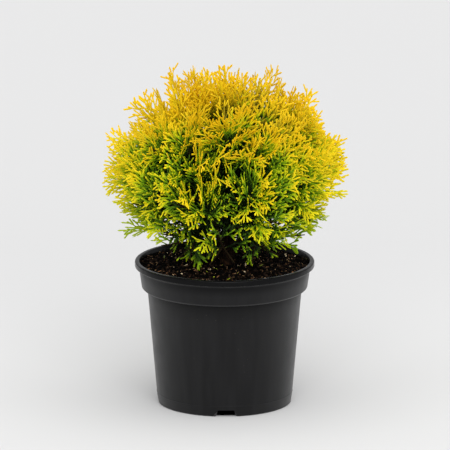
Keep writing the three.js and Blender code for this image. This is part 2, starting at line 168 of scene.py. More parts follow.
# Masses of foliage in rings round the fork: name, count, elevation and height of leaving
RINGS = (
    ("skirt", 8, 0, 156),
    ("middle", 8, 31, 163),
    ("upper", 5, 60, 170),
    ("top", 1, 90, 179),
)
RING_WOBBLE = 3.5
BOUGH_SHARE = 0.36
BOUGH_STAGGER = 3.5
BOUGH_FOOT_RADIUS = 2.3
BOUGH_TIP_RADIUS = 1.5
BOUGH_FLATNESS = 0.5
BOUGH_BEND = 0.35
BOUGH_STEPS = 14
STEM_CLEARANCE = 14
TWIG_COUNT = 4
TWIG_FROM = 0.46
TWIG_TO = 0.84
TWIG_SPREAD = math.radians(25)
TWIG_FOOT_RADIUS = 1.5
TWIG_TIP_RADIUS = 0.8
TWIG_SHORTENING = 0.1
TWIG_STEPS = 7
TWIG_SWAY = 0.06
TWIG_SLIMNESS = 0.75
TWIG_ROUNDNESS = 1
SOIL_CLEARANCE = 1.5
FROND_SLANT = 1.1
FROND_FIRST = 0.3
FROND_LAST = 0.92

# Seeds of the streams, the first one shared with the frame's source
MASS_SEED = 5
FROND_SEED = 41
FILL_SEED = 22
STANDING_SEED = 23
TWIG_SEED = 24
SEED_STEP = 10000
SOIL_SEED = 8
STREAM_FACTOR = 16807
STREAM_SIZE = 2147483647
STREAM_SPREAD = 48271

# Fronds: how many, how deep their tips lie, and how long their leafy part is
FROND_COUNT = 1330
OUTER_SHARE = (0.87, 1.055)
MIDDLE_SHARE = (0.74, 0.9)
INNER_SHARE = (0.5, 0.76)
OUTER_PART = 0.55
MIDDLE_PART = 0.88
LEAFY_LENGTH = (50, 76)
LEAFY_MOST = 0.86
FROND_STATIONS = 22
TIP_JITTER = 0.26
OUTWARD_LEAN = 0.72
RISE_HEIGHTS = (150, 200, 225, 250, 290, 350)
RISES = (-0.9, -1.0, -0.7, 0, 0.75, 0.5)
RISE_VARIETY = (0.5, 1.5)
FRONT_OVERHANG = 55
SIDE_HANG = 0.75
RISE_AT_ROOT = 0.35
SPINE_BEND = 0.36
TWIST_USUAL = 1.5
LOW_HEIGHT = 232
LOW_FANS = 0.62
LOW_FAN_TWIST = 1.45
LOW_FAN_VARIETY = 0.3
THIN_BELOW = 222
THIN_RANGE = 44
THIN_MOST = 0.46
THIN_AT_SIDES = 0.58
PARTING_HEIGHT = 200
PARTING_PLACE = 6
PARTING_WIDTH = 16
FILL_BACK = 0.34
FILL_NEAREST = 0.08
FILL_SPREAD = 2.2
FILL_LOWEST = 205
FILL_WIDEST = 60
FILL_COUNT = 560
FILL_COARSENESS = 1.2
FILL_SHARE = (0.24, 0.8)
OUTLINE_HEIGHTS = (150, 185, 205, 222, 234, 290, 318, 346, 359)
OUTLINE_DRAW_IN = (0.12, 0.11, 0.09, 0.085, 0.02, 0.02, 0.055, 0.06, 0.02)
LEFT_SHOULDER_HEIGHTS = (265, 300, 330, 345)
LEFT_SHOULDER_DRAW_IN = (0, 0.08, 0.08, 0)

# Tips that stand out of the globe's outline in the photograph
STANDING_TIPS = places(
    (-59, 62, 343),
    (-2, 42, 354),
    (51, 50, 350),
    (-86, 48, 325),
    (92, 42, 327),
    (-97, 36, 317),
    (-121, 4, 292),
    (127, 0, 281),
    (-129, 0, 262),
    (131, 0, 252),
    (-126, 0, 229),
    (125, 0, 224),
    (-106, 0, 180),
    (92, -8, 188),
    (77, -10, 166),
)
STANDING_TWIST = 0.4

# Tips of the broad sprays placed in front of the rest, their tones raised as painted light
FRONT_TIPS = places(
    (40, -106, 200),
    (-26, -103, 188),
    (46, -115, 261),
    (-21, -120, 278),
    (16, -115, 298),
    (24, -118, 222),
    (-25, -121, 248),
    (93, -75, 218),
    (-22, -102, 318),
    (-5, -120, 286),
    (-4, -124, 262),
    (-43, -116, 240),
    (84, -77, 303),
    (-92, -52, 312),
)
FRONT_SHARE = 1.01
FRONT_PAINTED_LIGHT = 0.7

# Hollows placed at the front, where the fronds end deeper and the crown is dark
HOLLOWS = places(
    (-77, -96, 272),
    (65, -104, 229),
    (-46, -111, 287),
    (66, -102, 278),
    (-4, -124, 236),
    (3, -120, 219),
    (22, -119, 284),
    (25, -121, 260),
    (-45, -115, 268),
    (-14, -112, 300),
)
HOLLOW_REACH = 24
HOLLOW_DEPTH = 0.24

# Laterals along a frond and fingers along a lateral
LATERAL_FIRST = 6.5
LATERAL_PITCH = 6
LATERAL_ANGLE = (27, 37)
LATERAL_BASE = 7
LATERAL_GROWTH = 0.5
LATERAL_LONGEST = 28
LATERAL_LIFT = 0.12
LATERAL_FORWARD = 0.2
LATERAL_FADE = 0.25
LATERAL_FADE_FROM = 0.6
LATERAL_FIRST_VARIETY = (0.8, 1.2)
LATERAL_PITCH_VARIETY = (0.88, 1.14)
LATERAL_VARIETY = (0.82, 1.15)
LATERAL_LONGEST_VARIETY = (0.75, 1.1)
LATERAL_BARE = 1.8
SHORT_LATERAL = 11.5
FINGER_FIRST = 5.2
FINGER_PITCH = 5.3
FINGER_ANGLE = (24, 31)
FINGER_BASE = 7
FINGER_GROWTH = 0.38
FINGER_LONGEST = 14
FINGER_FIRST_VARIETY = (0.85, 1.15)
FINGER_PITCH_VARIETY = (0.88, 1.12)
FINGER_VARIETY = (0.8, 1.15)
FINGER_WIDTH_VARIETY = (0.88, 1.05)
END_FINGER_LONGEST = 14
END_FINGER_SHARE = 0.55
END_FINGER_VARIETY = (0.9, 1.1)
END_FINGER_OVERLAP = 0.8
FINGER_WIDTH = (1.9, 2.4)
FINGER_THICKNESS = 1.1
FINGER_CURVE = 0.09

# Tones, by number: how much chance there is in them, and how they go with the height, with
# the depth inside the globe and along a shoot. Deep inside and low down they fall, partly to
# the leaves' own green and partly as painted shade; low at the sides they rise, painted light
FROND_TONE_VARIETY = 0.5
SHOOT_TONE_VARIETY = 0.6
RACHIS_DARKER = 0.6
TIP_BRIGHTER = 3.1
TONE_FOOT = 150
TONE_RANGE = 211
BRIGHTEST_AT = (0, 0.2, 0.42, 0.62, 0.82, 1)
BRIGHTEST = (3.1, 6.0, 7.1, 8.2, 8.6, 8.9)
FALL_AT = (0, 0.25, 0.5, 1)
FALL = (13, 20, 31, 40)
FULL_SHARE = 0.97
CEILING_HEIGHTS = (170, 215, 260, 310, 345)
CEILING_TONES = (6.4, 8, 9, 10.4, 11)
SIDE_CEILING_DROP = 1.2
LOW_RANGE = 30
LOW_PAINTED_SHADE = -0.7
LOW_SIDE_PAINTED_LIGHT = 0.9

# Stalks, and where leaves and tips may be
STALK_WIDTH = 1.4
STALK_THICKNESS = 1.3
STALK_OVERLAP = 0.4
BARE_STALK_RADII = (0.75, 0.7, 0.65, 0.6)
RACHIS_WIDTH = 1.9
RACHIS_STEP = 7
RACHIS_END = 5
RACHIS_BARE = 1
LONG_FINGER = 8
RIM_CLEARANCE = 1.2
TIP_FREEDOM = Vector((3, 3, -0.5))
TIP_PULL = 0.985
TIP_LOW = cad_low / MM - TIP_FREEDOM
TIP_HIGH = cad_high / MM + TIP_FREEDOM

# Shoots of scale leaves: beads, width of the waists between them and width of the end
SHORT_SHOOT = (2, 0.76, 0.02)
LONG_SHOOT = (3, 0.78, 0.02)
FALLEN_SHOOT = (3, 0.7, 0.02)
BEAD_PLACE = 0.62
WAIST_PLACE = 1.05
FIRST_BEAD_WIDTH = 0.88
ROOT_WIDTH = 0.01
SHOOT_MERGE = 0.03
STALK_END_RADIUS = 0.42

# Loose matter on the soil
LUMP_SIZE = 1.7
LUMP_DEPTH = 0.5
CHIP_SIZE = 2.1
CHIP_DEPTH = 0.3
LITTER_MARGIN = 3
LITTER_TILT = 0.35
LITTER_LIFT = 0.2
GRAIN_LIFT = 0.55
LEAF_LIFT = 0.8
LEAF_SIZES = ((1.6, 2.2), (5, 9), (0.8, 1.1))
LEAVES_IN_FRONT = 6
LEAVES_ANYWHERE = 10
FRONT_SECTOR = (math.radians(235), math.radians(300))

# Photographed view
VIEW_ELEVATION = math.radians(13.5)
VIEW_DISTANCE = 10
VIEW_WIDTH = 0.4756
VIEW_TARGET = Vector((0.0004, 0, 0.1911))
SENSOR_WIDTH = 36
VIEW_NEAREST = 0.1
VIEW_FARTHEST = 200

# Studio: a floor whose colour darkens a little to the back, painted shade, an even sky, and
# wide soft lights with their azimuth from the front, elevation, strength and width in degrees
FLOOR_HALF_SIZE = 40
FLOOR_FROM = -0.2
FLOOR_TO = 0.7
FLOOR_NEAR = (0.682, 0.682, 0.684, 1)
FLOOR_FAR = (0.627, 0.627, 0.629, 1)
SKY_STRENGTH = 0.56
SOFTBOXES = (
    ("front_softbox", 6, 27, 1.5, 50),
    ("overhead_softbox", 0, 72, 1.29, 70),
    ("side_softbox", 78, 18, 0.27, 70),
    ("top_softbox", 150, 70, 0.38, 60),
)


def seeded(seed):
    """The same stream of numbers from 0 to 1 as the frame's source uses."""
    state = (seed * STREAM_SPREAD * STREAM_FACTOR) % STREAM_SIZE

    def draw():
        nonlocal state
        state = (state * STREAM_FACTOR) % STREAM_SIZE
        return state / STREAM_SIZE

    return draw


def blend(low, high, share):
    return low + (high - low) * share


def srgb(red, green, blue):
    """A colour given as it looks on a screen, from 0 to 255, as linear values."""
    linear = []
    for level in (red, green, blue):
        level /= 255
        linear.append(level / 12.92 if level <= 0.04045 else ((level + 0.055) / 1.055) ** 2.4)
    return (*linear, 1)


# Finishes

class Finish:
    """A material, with short ways to add and join its nodes."""

    def __init__(self, name, roughness, specular):
        self.material = bpy.data.materials.new(name)
        self.material.use_nodes = True
        self.nodes = self.material.node_tree.nodes
        self.links = self.material.node_tree.links
        self.shader = self.nodes["Principled BSDF"]
        self.shader.inputs["Roughness"].default_value = roughness
        self.shader.inputs["Specular IOR Level"].default_value = specular
        self.place = self.nodes.new("ShaderNodeTexCoord").outputs["Object"]

    def node(self, kind, output, inputs):
        """The output of a new node, whose inputs are linked or set to plain values."""
        node = self.nodes.new(f"ShaderNode{kind}")
        for name, value in inputs.items():
            self.plug(value, node.inputs[name])
        return node.outputs[output]

    def stretched(self, scale):
        return self.node("Mapping", "Vector", {"Vector": self.place, "Scale": scale})

    def grain(self, size, detail=3, place=None):
        """Noise whose lumps are about size millimetres across."""
        inputs = {"Vector": place or self.place, "Scale": 1 / (size * MM), "Detail": detail}
        return self.node("TexNoise", "Fac", inputs)

    def cells(self, size):
        """Distance from the middle of cells about size millimetres across."""
        inputs = {"Vector": self.place, "Scale": 1 / (size * MM)}
        return self.node("TexVoronoi", "Distance", inputs)

    def along(self, axis):
        """A point's place along X, Y or Z, in metres."""
        return self.node("SeparateXYZ", axis, {"Vector": self.place})

    def combined(self, operation, first, second):
        """Two values as one, such as their product."""
        node = self.nodes.new("ShaderNodeMath")
        node.operation = operation
        self.links.new(first, node.inputs[0])
        self.links.new(second, node.inputs[1])
        return node.outputs[0]

    def ramp(self, factor, stops):
        ramp = self.nodes.new("ShaderNodeValToRGB")
        elements = ramp.color_ramp.elements
        while len(elements) < len(stops):
            elements.new(0.5)
        for element, (position, colour) in zip(elements, stops):
            element.position = position
            element.color = colour
        self.links.new(factor, ramp.inputs["Fac"])
        return ramp.outputs["Color"]

    def mix(self, factor, first, second):
        """The first colour where the factor is 0, and the second where it is 1."""
        mixer = self.nodes.new("ShaderNodeMix")
        mixer.data_type = "RGBA"
        colours = [socket for socket in mixer.inputs if socket.type == "RGBA"]
        self.links.new(factor, mixer.inputs["Factor"])
        self.plug(first, colours[0])
        self.plug(second, colours[1])
        return next(socket for socket in mixer.outputs if socket.type == "RGBA")

    def plug(self, value, socket):
        """Links an output to a socket, or sets the socket to a plain value."""
        if hasattr(value, "is_linked"):
            self.links.new(value, socket)
        else:
            socket.default_value = value

    def ranged(self, factor, low, high, start, end):
        """A factor that goes from start to end, as one that goes from low to high."""
        inputs = {
            "Value": factor,
            "From Min": start,
            "From Max": end,
            "To Min": low,
            "To Max": high,
        }
        return self.node("MapRange", "Result", inputs)

    def colour(self, value):
        self.plug(value, self.shader.inputs["Base Color"])

    def rough(self, factor):
        self.plug(factor, self.shader.inputs["Roughness"])

    def relief(self, height, depth, strength):
        """Adds a bump of depth millimetres on top of any that is there already."""
        inputs = {"Height": height, "Distance": depth * MM, "Strength": strength}
        socket = self.shader.inputs["Normal"]
        if socket.is_linked:
            inputs["Normal"] = socket.links[0].from_socket
        self.plug(self.node("Bump", "Normal", inputs), socket)


def grained_finish(name, roughness, specular, tones, grain, relief, stretch=(1, 1, 1)):
    """Tones dealt out by one noise, and a relief by another. A noise has a size and a detail,
    and the relief has a depth and a strength too."""
    finish = Finish(name, roughness, specular)
    place = finish.stretched(stretch)
    stops = [(position, srgb(*tone)) for position, tone in tones]
    finish.colour(finish.ramp(finish.grain(*grain, place), stops))
    size, detail, depth, strength = relief
    finish.relief(finish.grain(size, detail, place), depth, strength)
    return finish.material


def pot_plastic():
    """Satin black, with painted shade darker under the lip and the ledge, and a little dust."""
    finish = Finish("satin_pot_plastic", roughness=0.42, specular=0.08)
    finish.shader.inputs["Sheen Weight"].default_value = 0.16
    finish.shader.inputs["Sheen Roughness"].default_value = 0.5
    streaks = finish.grain(9, 2, finish.stretched((1, 1, 0.08)))
    base = finish.ramp(streaks, ((0.35, srgb(20, 20, 21)), (0.75, srgb(27, 27, 28))))
    height = finish.along("Z")
    collar_top = COLLAR_TOP * MM
    wall_top = WALL_TOP * MM
    # Painted shade: the colour is darkened just under the lip and just under the ledge
    under_lip = finish.ranged(height, 1, 0, collar_top - LIP_SHADE, collar_top)
    under_ledge = finish.ranged(height, 1, 0, wall_top - LEDGE_SHADE, wall_top)
    off_wall = finish.ranged(height, 0, 1, wall_top, wall_top + SHADE_EDGE)
    lit = finish.combined("MAXIMUM", under_ledge, off_wall)
    lit = finish.combined("MULTIPLY", lit, under_lip)
    base = finish.mix(lit, srgb(9, 9, 10), base)
    specks = finish.ranged(finish.cells(5.5), 1, 0, 0.03, 0.06)
    dusty = finish.ranged(finish.grain(28, 2), 0, 0.55, 0.5, 0.7)
    dust = finish.combined("MULTIPLY", specks, dusty)
    finish.colour(finish.mix(dust, base, srgb(120, 116, 108)))
    finish.rough(finish.ranged(finish.grain(14, 3), 0.38, 0.5, 0.3, 0.7))
    finish.relief(finish.grain(34, 1), depth=0.5, strength=0.35)
    finish.relief(finish.grain(0.55, 2), depth=0.05, strength=0.6)
    return finish.material


def plain_finish(name, colour, roughness=0.6, specular=0.3, grain=0.9, depth=0.12):
    """One plain colour, with a fine relief of its own."""
    finish = Finish(name, roughness, specular)
    finish.colour(colour)
    finish.relief(finish.grain(grain, 2), depth, strength=0.6)
    return finish.material


# From the darkest leaves inside, partly their own deep green and partly painted shade, to the
# golden ones, and then darker golds for the top, which stand there for the green tones and are
# partly the leaves' own colour and partly painted shade
LEAF_TONES = (
    (22, 38, 8),
    (34, 58, 10),
    (52, 84, 12),
    (78, 112, 14),
    (102, 142, 14),
    (134, 168, 16),
    (168, 188, 18),
    (200, 202, 19),
    (224, 209, 20),
    (235, 208, 20),
    (236, 199, 18),
    (230, 187, 15),
    (76, 74, 8),
    (110, 101, 10),
    (140, 126, 12),
    (164, 145, 13),
    (188, 164, 14),
    (210, 182, 15),
    (228, 195, 17),
)
GOLDEST = 11
SHADE_TONES = (3, 9)
SHADE_HEIGHT = 312
SHADE_SPREAD = 24


def leaf_finishes():
    return [
        plain_finish(f"scale_leaf_{i:02d}", srgb(*tone), specular=0.15, grain=0.8, depth=0.1)
        for i, tone in enumerate(LEAF_TONES)
    ]


# Making pieces

def in_scene(name, data):
    """A new object in the scene."""
    item = bpy.data.objects.new(name, data)
    bpy.context.scene.collection.objects.link(item)
    return item


def as_mesh(holder):
    """An object's final mesh. The object itself goes."""
    seen = holder.evaluated_get(bpy.context.evaluated_depsgraph_get())
    mesh = bpy.data.meshes.new_from_object(seen)
    bpy.data.objects.remove(holder)
    return mesh


def add_piece(name, mesh, materials, slot, *nodes):
    """A finished piece that rides on the body, with its finish and what it stands for."""
    for material in materials:
        mesh.materials.append(material)
    piece = in_scene(name, mesh)
    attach(piece, "root")
    if nodes:
        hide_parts(*nodes)


def smooth_faces(form):
    for face in form.faces:
        face.smooth = True


def finish_mesh(form, name):
    """A bmesh in millimetres as a smooth mesh in metres."""
    bmesh.ops.scale(form, vec=(MM, MM, MM), verts=form.verts)
    smooth_faces(form)
    mesh = bpy.data.meshes.new(name)
    form.to_mesh(mesh)
    form.free()
    return mesh


def turned(profile, sides):
    """A surface of revolution round the Z axis from pairs of radius and height."""
    form = bmesh.new()
    corners = [form.verts.new((radius, 0, height)) for radius, height in profile]
    lines = [form.edges.new(pair) for pair in zip(corners, corners[1:])]
    bmesh.ops.spin(
        form,
        geom=corners + lines,
        cent=(0, 0, 0),
        axis=(0, 0, 1),
        angle=2 * math.pi,
        steps=sides,
        use_merge=True,
    )
    bmesh.ops.remove_doubles(form, verts=form.verts, dist=TURNED_MERGE)
    bmesh.ops.recalc_face_normals(form, faces=form.faces)
    return form


LIP_FOOT = POT_HEIGHT - LIP_HEIGHT
COLLAR_TOP = LIP_FOOT - LIP_SLOPE_HEIGHT
COLLAR_FOOT = COLLAR_TOP - COLLAR_HEIGHT
WALL_TOP = COLLAR_FOOT - LEDGE_HEIGHT
INSIDE_LIP_RADIUS = RIM_RADIUS - LIP_WIDTH


def wall_radius(height):
    return blend(WALL_FOOT_RADIUS, WALL_TOP_RADIUS, height / WALL_TOP)


def pot_inside(offset):
    """The inner face from the lip down to the floor, moved in by offset."""
    step = WALL_THICKNESS + offset
    floor = FLOOR_UNDERSIDE + FLOOR_THICKNESS + offset
    return [
        (INSIDE_LIP_RADIUS - offset, POT_HEIGHT),
        (COLLAR_TOP_RADIUS - step, COLLAR_TOP),
        (COLLAR_FOOT_RADIUS - step, COLLAR_FOOT),
        (WALL_TOP_RADIUS - step, WALL_TOP),
        (wall_radius(FLOOR_UNDERSIDE) - step, floor),
    ]


def add_wedge(form, outer, inner):
    """A wedge from its outer to its inner side, each with its depth and its width below."""
    corners = bmesh.ops.create_cube(form, size=1)["verts"]
    for corner in corners:
        depth, foot_width = outer if corner.co.y < 0 else inner
        foot = corner.co.z < 0
        corner.co.x *= foot_width if foot else NOTCH_TOP_WIDTH
        corner.co.y = depth - WALL_FOOT_RADIUS
        corner.co.z = -NOTCH_CUT if foot else NOTCH_HEIGHT
    return corners


def notch_cutter():
    """Wedges that cut the notches through the foot, and straight ones further in."""
    form = bmesh.new()
    inner = NOTCH_INNER_FOOT_WIDTH
    for i in range(NOTCH_COUNT):
        wedge = add_wedge(form, (-NOTCH_OVERLAP, NOTCH_FOOT_WIDTH), (NOTCH_REACH, inner))
        wedge += add_wedge(form, (NOTCH_OVERLAP, inner), (NOTCH_DEPTH, inner))
        spin = Matrix.Rotation(NOTCH_TURN + i * 2 * math.pi / NOTCH_COUNT, 3, "Z")
        bmesh.ops.rotate(form, verts=wedge, cent=(0, 0, 0), matrix=spin)
    bmesh.ops.recalc_face_normals(form, faces=form.faces)
    return finish_mesh(form, "notch_cutter")


def cut_away(mesh, cutter_mesh):
    """The mesh with the cutter's volume taken out."""
    body = in_scene("uncut_pot", mesh)
    cutter = in_scene("notch_cutter", cutter_mesh)
    cut = body.modifiers.new("notches", "BOOLEAN")
    cut.operation = "DIFFERENCE"
    cut.solver = "EXACT"
    cut.use_self = True
    cut.object = cutter
    result = as_mesh(body)
    bpy.data.objects.remove(cutter)
    return result


def make_pot():
    foot_inside = WALL_FOOT_RADIUS - FOOT_EDGE - WALL_THICKNESS
    line_low = MOULD_LINE_HEIGHT - MOULD_LINE_WIDTH / 2
    line_high = MOULD_LINE_HEIGHT + MOULD_LINE_WIDTH / 2
    profile = [
        (0, FLOOR_UNDERSIDE),
        (RIB_RADIUS - RIB_WIDTH, FLOOR_UNDERSIDE),
        (RIB_RADIUS - RIB_WIDTH, RIB_LIFT),
        (RIB_RADIUS, RIB_LIFT),
        (RIB_RADIUS, FLOOR_UNDERSIDE),
        (foot_inside, FLOOR_UNDERSIDE),
        (foot_inside, 0),
        (WALL_FOOT_RADIUS - FOOT_EDGE, 0),
        (WALL_FOOT_RADIUS, FOOT_EDGE),
        (wall_radius(line_low), line_low),
        (wall_radius(MOULD_LINE_HEIGHT) + MOULD_LINE_RISE, MOULD_LINE_HEIGHT),
        (wall_radius(line_high), line_high),
        (WALL_TOP_RADIUS, WALL_TOP),
        (COLLAR_FOOT_RADIUS - LEDGE_HEIGHT, WALL_TOP),
        (COLLAR_FOOT_RADIUS, COLLAR_FOOT),
        (COLLAR_TOP_RADIUS, COLLAR_TOP),
        *reversed(LIP_UNDERCUT),
        (RIM_RADIUS, LIP_FOOT + LIP_ROUNDING),
        (RIM_RADIUS, POT_HEIGHT - LIP_EDGE),
        (RIM_RADIUS - LIP_EDGE, POT_HEIGHT),
        *pot_inside(0),
        (0, FLOOR_UNDERSIDE + FLOOR_THICKNESS),
    ]
    form = turned(profile, POT_SIDES)
    level = [
        edge
        for edge in form.edges
        if abs(edge.verts[0].co.z - edge.verts[1].co.z) < LEVEL_WITHIN
        and len(edge.link_faces) == 2
        and edge.calc_face_angle() > ROUNDED_EDGE
        and edge.verts[0].co.xy.length > OFF_AXIS
    ]
    bmesh.ops.bevel(
        form,
        geom=level,
        affect="EDGES",
        offset=POT_ROUNDING,
        offset_type="OFFSET",
        segments=ROUNDING_STEPS,
        profile=0.5,
        material=-1,
    )
    whole = finish_mesh(form, "pot_plastic")
    mesh = cut_away(whole, notch_cutter())
    form = bmesh.new()
    form.from_mesh(mesh)
    smooth_faces(form)
    tones = ((0.3, (3, 3, 4)), (0.8, (7, 7, 8)))
    # Painted shade: the underside within the foot and the rib are near black, with no shine
    finishes = {
        "wall": pot_plastic(),
        "rim": grained_finish("glossy_rim_plastic", 0.22, 0.12, tones, (6, 2), (15, 2, 0.9, 0.5)),
        "underside": plain_finish(
            "underside_plastic", srgb(1, 1, 1), roughness=0.95, specular=0
        ),
    }
    numbers = {part: number for number, part in enumerate(finishes)}
    for face in form.faces:
        middle = face.calc_center_median() / MM
        within = middle.xy.length < WALL_FOOT_RADIUS - NOTCH_REACH
        if middle.z > LIP_FOOT:
            face.material_index = numbers["rim"]
        elif middle.z < NOTCH_HEIGHT + NOTCH_OVERLAP and within:
            face.material_index = numbers["underside"]
    for edge in form.edges:
        edge.smooth = len(edge.link_faces) == 2 and edge.calc_face_angle() < CREASED_EDGE
    form.to_mesh(mesh)
    form.free()
    add_piece("pot_plastic", mesh, finishes.values(), "pot", "pot")


def soil_height(x, y):
    """The height of the bumpy top of the soil."""
    share = min(math.hypot(x, y) / INSIDE_LIP_RADIUS, 1)
    height = blend(SOIL_MIDDLE_HEIGHT, SOIL_EDGE_HEIGHT, share * share)
    lump = noise.noise(Vector((x, y, 0)) / SOIL_LUMP_SIZE)
    place = Vector((x, y, SOIL_SEED)) / SOIL_GRAIN_SIZE
    grain = noise.turbulence(place, SOIL_OCTAVES, False)
    along = x * SOIL_DIP_WAY[0] + y * SOIL_DIP_WAY[1]
    dip = SOIL_DIP * max(0, along / INSIDE_LIP_RADIUS) ** 2
    return height + SOIL_LUMP * lump + SOIL_GRAIN * grain - dip


def make_soil():
    lip, collar_top, collar_foot, wall_top, wall_foot = pot_inside(SOIL_GAP)
    share = (SOIL_EDGE_HEIGHT - collar_top[1]) / (lip[1] - collar_top[1])
    edge_radius = blend(collar_top[0], lip[0], share)
    top = [(edge_radius * (1 - i / SOIL_RINGS), SOIL_EDGE_HEIGHT) for i in range(SOIL_RINGS)]
    profile = [
        (0, wall_foot[1]),
        wall_foot,
        wall_top,
        collar_foot,
        collar_top,
        *top,
        (0, SOIL_EDGE_HEIGHT),
    ]
    form = turned(profile, SOIL_SIDES)
    for corner in form.verts:
        if corner.co.z > SOIL_EDGE_HEIGHT - SOIL_SKIN:
            corner.co.z = soil_height(corner.co.x, corner.co.y)
    tones = ((0.36, (1, 1, 1)), (0.54, (10, 7, 5)), (0.68, (36, 25, 18)), (0.8, (78, 58, 44)))
    peat = grained_finish("moist_peat", 0.95, 0.04, tones, (2.6, 6), (1.1, 5, 0.8, 0.9))
    add_piece("peat", finish_mesh(form, "peat"), [peat], "soil", "soil")


# Small shapes that are repeated many times

class Pattern:
    """A small mesh as arrays: its corners, its triangles and how far along each one lies."""

    def __init__(self, form):
        bmesh.ops.triangulate(form, faces=form.faces)
        bmesh.ops.recalc_face_normals(form, faces=form.faces)
        form.verts.index_update()
        self.corners = np.array([corner.co for corner in form.verts])
        self.faces = np.array([[v.index for v in face.verts] for face in form.faces])
        self.along = self.corners[self.faces][:, :, 1].mean(axis=1)
        form.free()


def beaded_shoot(beads, waist, end_width):
    """A shoot of scale leaves one unit long and wide: a flat closed spindle with a bead for
    each pair of leaves. Its ridge is kept plain, and only its edges are beaded."""
    form = bmesh.new()
    spin = Matrix.Rotation(math.pi / 2, 4, "X")
    ring = bmesh.ops.create_circle(form, segments=4, radius=0.5, matrix=spin)["verts"]
    bmesh.ops.scale(form, vec=(ROOT_WIDTH, 1, ROOT_WIDTH), verts=ring)
    stations = []
    for bead in range(beads):
        middle = (bead + BEAD_PLACE) / beads
        stations.append((middle, blend(FIRST_BEAD_WIDTH, 1, bead / max(beads - 1, 1))))
        if bead < beads - 1:
            stations.append(((bead + WAIST_PLACE) / beads, waist))
    stations.append((1, end_width))
    edges = list(form.edges)
    height = 0
    width = ROOT_WIDTH
    waists = []
    for along, wide in stations:
        made = bmesh.ops.extrude_edge_only(form, edges=edges)["geom"]
        corners = [item for item in made if isinstance(item, bmesh.types.BMVert)]
        edges = [item for item in made if isinstance(item, bmesh.types.BMEdge)]
        bmesh.ops.translate(form, vec=(0, along - height, 0), verts=corners)
        bmesh.ops.scale(form, vec=(wide / width, 1, wide / width), verts=corners)
        if wide == waist:
            waists.extend(corner for corner in corners if abs(corner.co.z) > abs(corner.co.x))
        height = along
        width = wide
    bmesh.ops.dissolve_verts(form, verts=waists)
    bmesh.ops.remove_doubles(form, verts=form.verts, dist=SHOOT_MERGE)
    return Pattern(form)


def plain_stalk():
    """A short length of green stalk, closed at both ends."""
    form = bmesh.new()
    spin = Matrix.Rotation(-math.pi / 2, 4, "X")
    bmesh.ops.create_cone(
        form,
        segments=4,
        radius1=0.5,
        radius2=STALK_END_RADIUS,
        depth=1,
        cap_ends=True,
        matrix=Matrix.Translation((0, 0.5, 0)) @ spin,
    )
    return Pattern(form)


def rough_lump(seed, flatness):
    """A crumb: a small ball pushed out of round."""
    form = bmesh.new()
    bmesh.ops.create_icosphere(form, subdivisions=1, radius=0.5)
    for corner in form.verts:
        push = noise.noise(corner.co * LUMP_SIZE + Vector((seed, 0, 0)))
        corner.co *= 1 + LUMP_DEPTH * push
        corner.co.z *= flatness
    return Pattern(form)


def bark_chip(seed):
    """A torn flat chip."""
    form = bmesh.new()
    bmesh.ops.create_cube(form, size=1)
    bmesh.ops.subdivide_edges(form, edges=form.edges, cuts=1, use_grid_fill=True)
    for corner in form.verts:
        push = noise.noise_vector(corner.co * CHIP_SIZE + Vector((seed, seed, 0)))
        corner.co += push * CHIP_DEPTH
    return Pattern(form)


def joined_mesh(name, batches, smooth):
    """One mesh from batches of a pattern, where each copy goes, and its faces' finishes.

    A batch holds the pattern, the origins, the frames of three columns that stretch and turn
    it, the bends that carry its far end aside, and one finish number for every face."""
    corners = []
    faces = []
    finishes = []
    used = 0
    for pattern, origins, frames, bends, numbers in batches:
        count = len(origins)
        placed = np.einsum("nij,vj->nvi", frames, pattern.corners) + origins[:, None, :]
        placed += bends[:, None, :] * (pattern.corners[:, 1] ** 2)[None, :, None]
        size = len(pattern.corners)
        starts = used + np.arange(count) * size
        corners.append(placed.reshape(-1, 3))
        faces.append((pattern.faces[None, :, :] + starts[:, None, None]).reshape(-1, 3))
        finishes.append(numbers.reshape(-1))
        used += count * size
    corners = np.concatenate(corners) * MM
    faces = np.concatenate(faces)
    finishes = np.concatenate(finishes)
    mesh = bpy.data.meshes.new(name)
    mesh.vertices.add(len(corners))
    mesh.vertices.foreach_set("co", corners.ravel().astype(np.float32))
    mesh.loops.add(faces.size)
    mesh.loops.foreach_set("vertex_index", faces.ravel().astype(np.int32))
    mesh.polygons.add(len(faces))
    columns = {
        "loop_start": np.arange(0, faces.size, 3, dtype=np.int32),
        "loop_total": np.full(len(faces), 3, dtype=np.int32),
        "material_index": finishes.astype(np.int32),
        "use_smooth": np.full(len(faces), smooth),
    }
    for column, values in columns.items():
        mesh.polygons.foreach_set(column, values)
    mesh.update(calc_edges=True)
    mesh.validate()
    return mesh


# The globe and its masses, by the rule of the frame's source

def globe_level(across, height):
    """Below 1 inside the globe and 1 on its surface, for numbers or arrays."""
    out = across / GLOBE_RADIUS
    up = abs(height - GLOBE_CENTRE_HEIGHT) / GLOBE_HALF_HEIGHT
    return out ** GLOBE_FULLNESS + up ** GLOBE_FULLNESS


def reach_along(direction):
    """Distance from the fork to the globe's surface along a unit direction."""
    inside = 0
    outside = BEYOND_GLOBE
    while outside - inside > REACH_WITHIN:
        middle = (inside + outside) / 2
        place = FORK + direction * middle
        if globe_level(math.hypot(place.x, place.y), place.z) < 1:
            inside = middle
        else:
            outside = middle
    return inside


def shares_of_reach(points):
    """How far out each of many points lies, as shares of the way to the globe's surface."""
    away = points - np.array(FORK)
    distance = np.maximum(np.linalg.norm(away, axis=1), 1)
    direction = away / distance[:, None]
    inside = np.zeros(len(points))
    outside = np.full(len(points), float(BEYOND_GLOBE))
    for _ in range(REACH_STEPS):
        middle = (inside + outside) / 2
        place = np.array(FORK) + direction * middle[:, None]
        under = globe_level(np.hypot(place[:, 0], place[:, 1]), place[:, 2]) < 1
        inside = np.where(under, middle, inside)
        outside = np.where(under, outside, middle)
    return distance / inside


